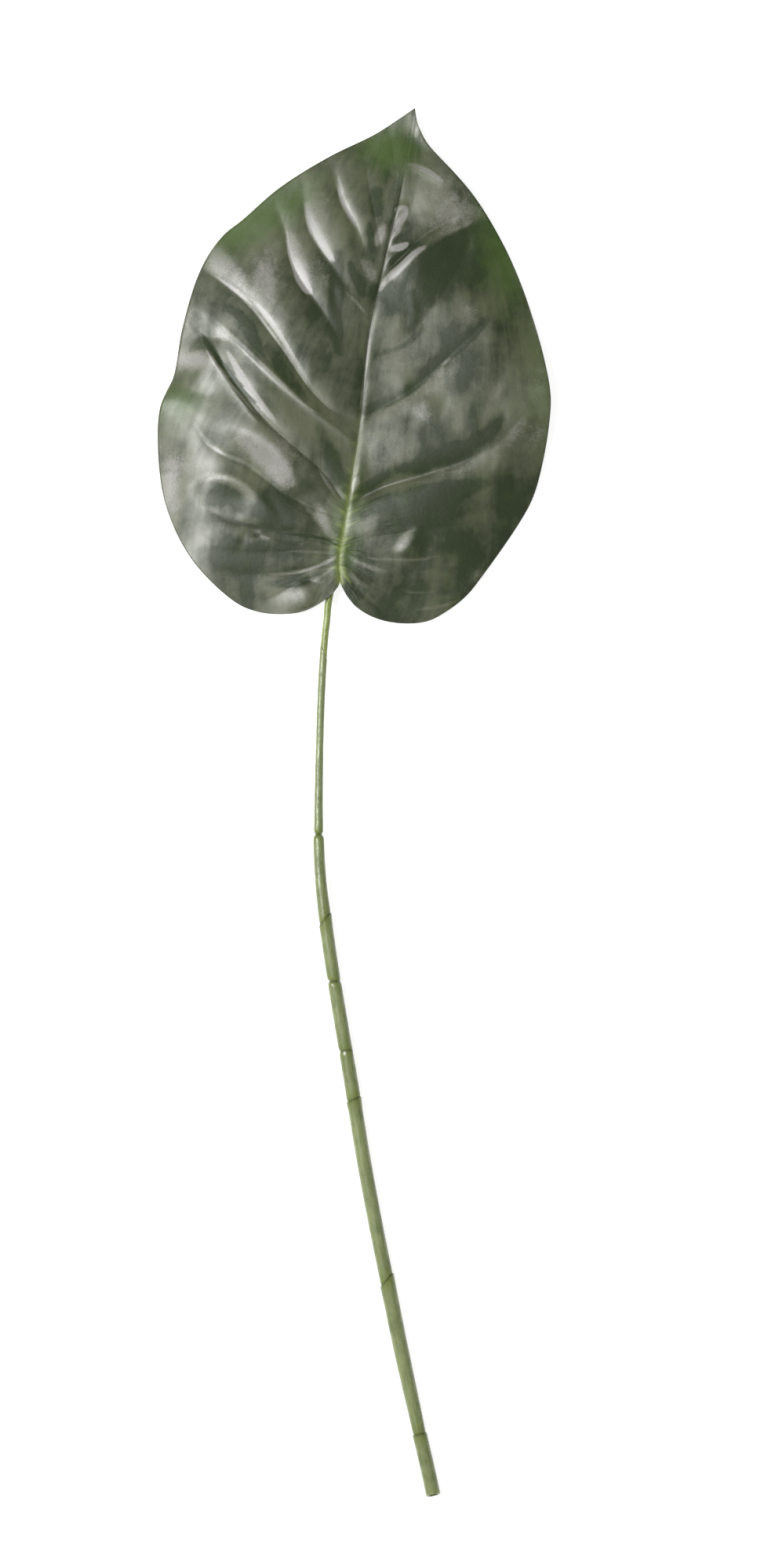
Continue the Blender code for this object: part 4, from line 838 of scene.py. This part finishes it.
def clothBack():
    # two dull greens mixed by one noise
    finish = Finish("leaf_cloth_back", Specular_IOR_Level=0.5, Sheen_Weight=0.2)
    place = finish.node("TexCoord", None, output="Object")
    patch, grain = (finish.noise(place, *backCloth[name]) for name in ("patch", "grain"))
    colour = finish.blend(patch, backCloth["dull"], backCloth["bright"])
    roughness = backCloth["roughness"] + (grain - 0.5) * backCloth["roughnessSway"]
    normal = finish.bump(grain, *backCloth["bump"])
    return finish.feed(Base_Color=colour, Roughness=roughness, Normal=normal)

plastic = dict(
    # the darkest colour paints shade in the joints' crevices
    aroundScale=2.4, alongScale=0.11, roughness=0.50, roughnessSway=0.3, crevice=(0.045, 0.058, 0.016),
    streak=(1.0, 4.0, 0.6), cloud=(90.0, 5.0, 0.65), fleck=(900.0, 3.0, 0.6), creviceSharpness=5.0,
    tintShare=0.9, creviceShare=0.8, cloudBump=(0.0006, 0.5), fleckBump=(0.00010, 0.6),
    # dull colour, bright colour and the tint near a joint
    stem=((0.128, 0.156, 0.060), (0.222, 0.258, 0.122), (0.128, 0.165, 0.036)),
    petiole=((0.155, 0.195, 0.045), (0.240, 0.285, 0.100), (0.2, 0.25, 0.06)),
)

def mouldedPlastic(piece):
    # dull to bright by noise, tinted round the joints, with painted shade right in their crevices
    finish = Finish(piece + "_plastic", Specular_IOR_Level=0.35, Coat_Roughness=0.16, Coat_IOR=1.5,
                    Sheen_Weight=0.30, Sheen_Roughness=0.35, Subsurface_Weight=0.5, Subsurface_Scale=0.004,
                    Subsurface_Radius=(1.0, 1.0, 0.6))
    dull, bright, tint = plastic[piece]
    place = finish.node("TexCoord", None, output="Object")
    around, along = finish.attribute("turn"), finish.attribute("place")
    skin = finish.node("CombineXYZ", None, {"X": around * plastic["aroundScale"],
                                            "Y": along * plastic["alongScale"]})
    streak = finish.noise(skin, *plastic["streak"])
    cloud, fleck = (finish.noise(place, *plastic[name]) for name in ("cloud", "fleck"))
    joint = finish.attribute("joint")
    fields = dict(streak=streak - 0.5, cloud=cloud - 0.5, fleck=fleck - 0.5, joint=joint,
                  pinch=joint ** plastic["creviceSharpness"])
    colour = finish.blend(weigh(fields, 0.5, cloud=2.4, streak=2.0, fleck=0.8), dull, bright)
    nearJoint = weigh(fields, 0.0, joint=1.2, cloud=1.2) * plastic["tintShare"]
    colour = finish.blend(nearJoint, colour, tint)
    # painted shade: the colour darkens right in each joint's crevice
    crevice = weigh(fields, -0.25, pinch=1.2, fleck=0.5) * plastic["creviceShare"]
    colour = finish.blend(crevice, colour, plastic["crevice"])
    gloss = weigh(fields, 0.40, streak=2.0, fleck=2.4)
    roughness = plastic["roughness"] + fields["fleck"] * plastic["roughnessSway"]
    normal = finish.bump(fleck, *plastic["fleckBump"], finish.bump(cloud, *plastic["cloudBump"]))
    return finish.feed(Base_Color=colour, Roughness=roughness, Normal=normal, Coat_Weight=gloss)

route = stalkRoute()
print("stalk route:", round(route[1][-1] - route[1][0], 1), "mm")
leafBlade = makeBlade()
leafBlade.data.materials.append(satinCloth())
leafBlade.data.materials.append(clothBack())
print("blade:", len(leafBlade.data.polygons), "faces in the sheet")
leafStem = makeStem(route)
leafStem.data.materials.append(mouldedPlastic("stem"))
leafPetiole = makePetiole(route)
leafPetiole.data.materials.append(mouldedPlastic("petiole"))
print("stalk: stem", len(leafStem.data.polygons), "and petiole", len(leafPetiole.data.polygons), "faces")

for piece, node, slot in ((leafBlade, "leaf_blade", "leaf_cloth"), (leafStem, "stem", "stem_plastic"),
                          (leafPetiole, "petiole", "petiole_plastic")):
    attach(piece, "root")
    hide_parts(node)

# Studio, in metres
studio = dict(
    centre=(0.0143, 0.0095, 0.008), lens=100.0, sensor=36.0, frameHeight=0.7888, farthest=20.0,
    floorSize=6.0, floorHeight=-0.0002, floorColour=0.50, floorGlow=0.82,
    lamps=dict(key=dict(place=(-1.20, 0.15, 1.65), width=0.7, height=1.5, power=60.0),
               fill=dict(place=(-0.55, 0.2, 2.7), width=1.0, height=1.4, power=8.0),
               side=dict(place=(1.30, -0.3, 0.7), width=0.8, height=1.2, power=6.0)),
    aim=(0.0, 0.15, 0.0), noGlossFrom="side", skyStrength=0.12, skyGrey=0.8,
)

def makeStudio():
    # a pale floor, one large soft lamp on the left, two weak ones and a dim grey world
    scene = bpy.context.scene
    floor = bpy.data.objects.new("floor", bpy.data.meshes.new("floor"))
    half, height = 0.5 * studio["floorSize"], studio["floorHeight"]
    corners = [(-half, -half, height), (half, -half, height), (half, half, height), (-half, half, height)]
    floor.data.from_pydata(corners, [], [(0, 1, 2, 3)])
    grey = studio["floorColour"]
    paper = Finish("pale_floor", Roughness=0.9, Base_Color=(grey, grey, grey, 1.0),
                   Emission_Color=(1.0, 1.0, 1.0, 1.0), Emission_Strength=studio["floorGlow"])
    floor.data.materials.append(paper.material)
    scene.collection.objects.link(floor)
    for name, lamp in studio["lamps"].items():
        light = bpy.data.lights.new(name, "AREA")
        light.shape, light.size, light.size_y = "RECTANGLE", lamp["width"], lamp["height"]
        light.energy = lamp["power"]
        item = bpy.data.objects.new(name, light)
        scene.collection.objects.link(item)
        item.location = lamp["place"]
        item.visible_glossy = name != studio["noGlossFrom"]
        aim = Vector(studio["aim"]) - item.location
        item.rotation_euler = aim.to_track_quat("-Z", "Y").to_euler()
    world = bpy.data.worlds.new("studio")
    world.use_nodes = True
    sky = world.node_tree.nodes["Background"].inputs
    sky["Color"].default_value = (studio["skyGrey"], studio["skyGrey"], studio["skyGrey"], 1.0)
    sky["Strength"].default_value = studio["skyStrength"]
    scene.world = world
    scene.view_settings.view_transform = "Standard"

def makeCamera():
    # the frame's long side spans the sensor, so the distance is the lens times height over sensor
    camera = bpy.data.cameras.new("camera")
    camera.lens, camera.sensor_width, camera.clip_end = studio["lens"], studio["sensor"], studio["farthest"]
    item = bpy.data.objects.new("camera", camera)
    bpy.context.scene.collection.objects.link(item)
    x, y, z = studio["centre"]
    item.location = (x, y, z + studio["lens"] * studio["frameHeight"] / studio["sensor"])
    bpy.context.scene.camera = item

makeStudio()
makeCamera()
print("studio ready")
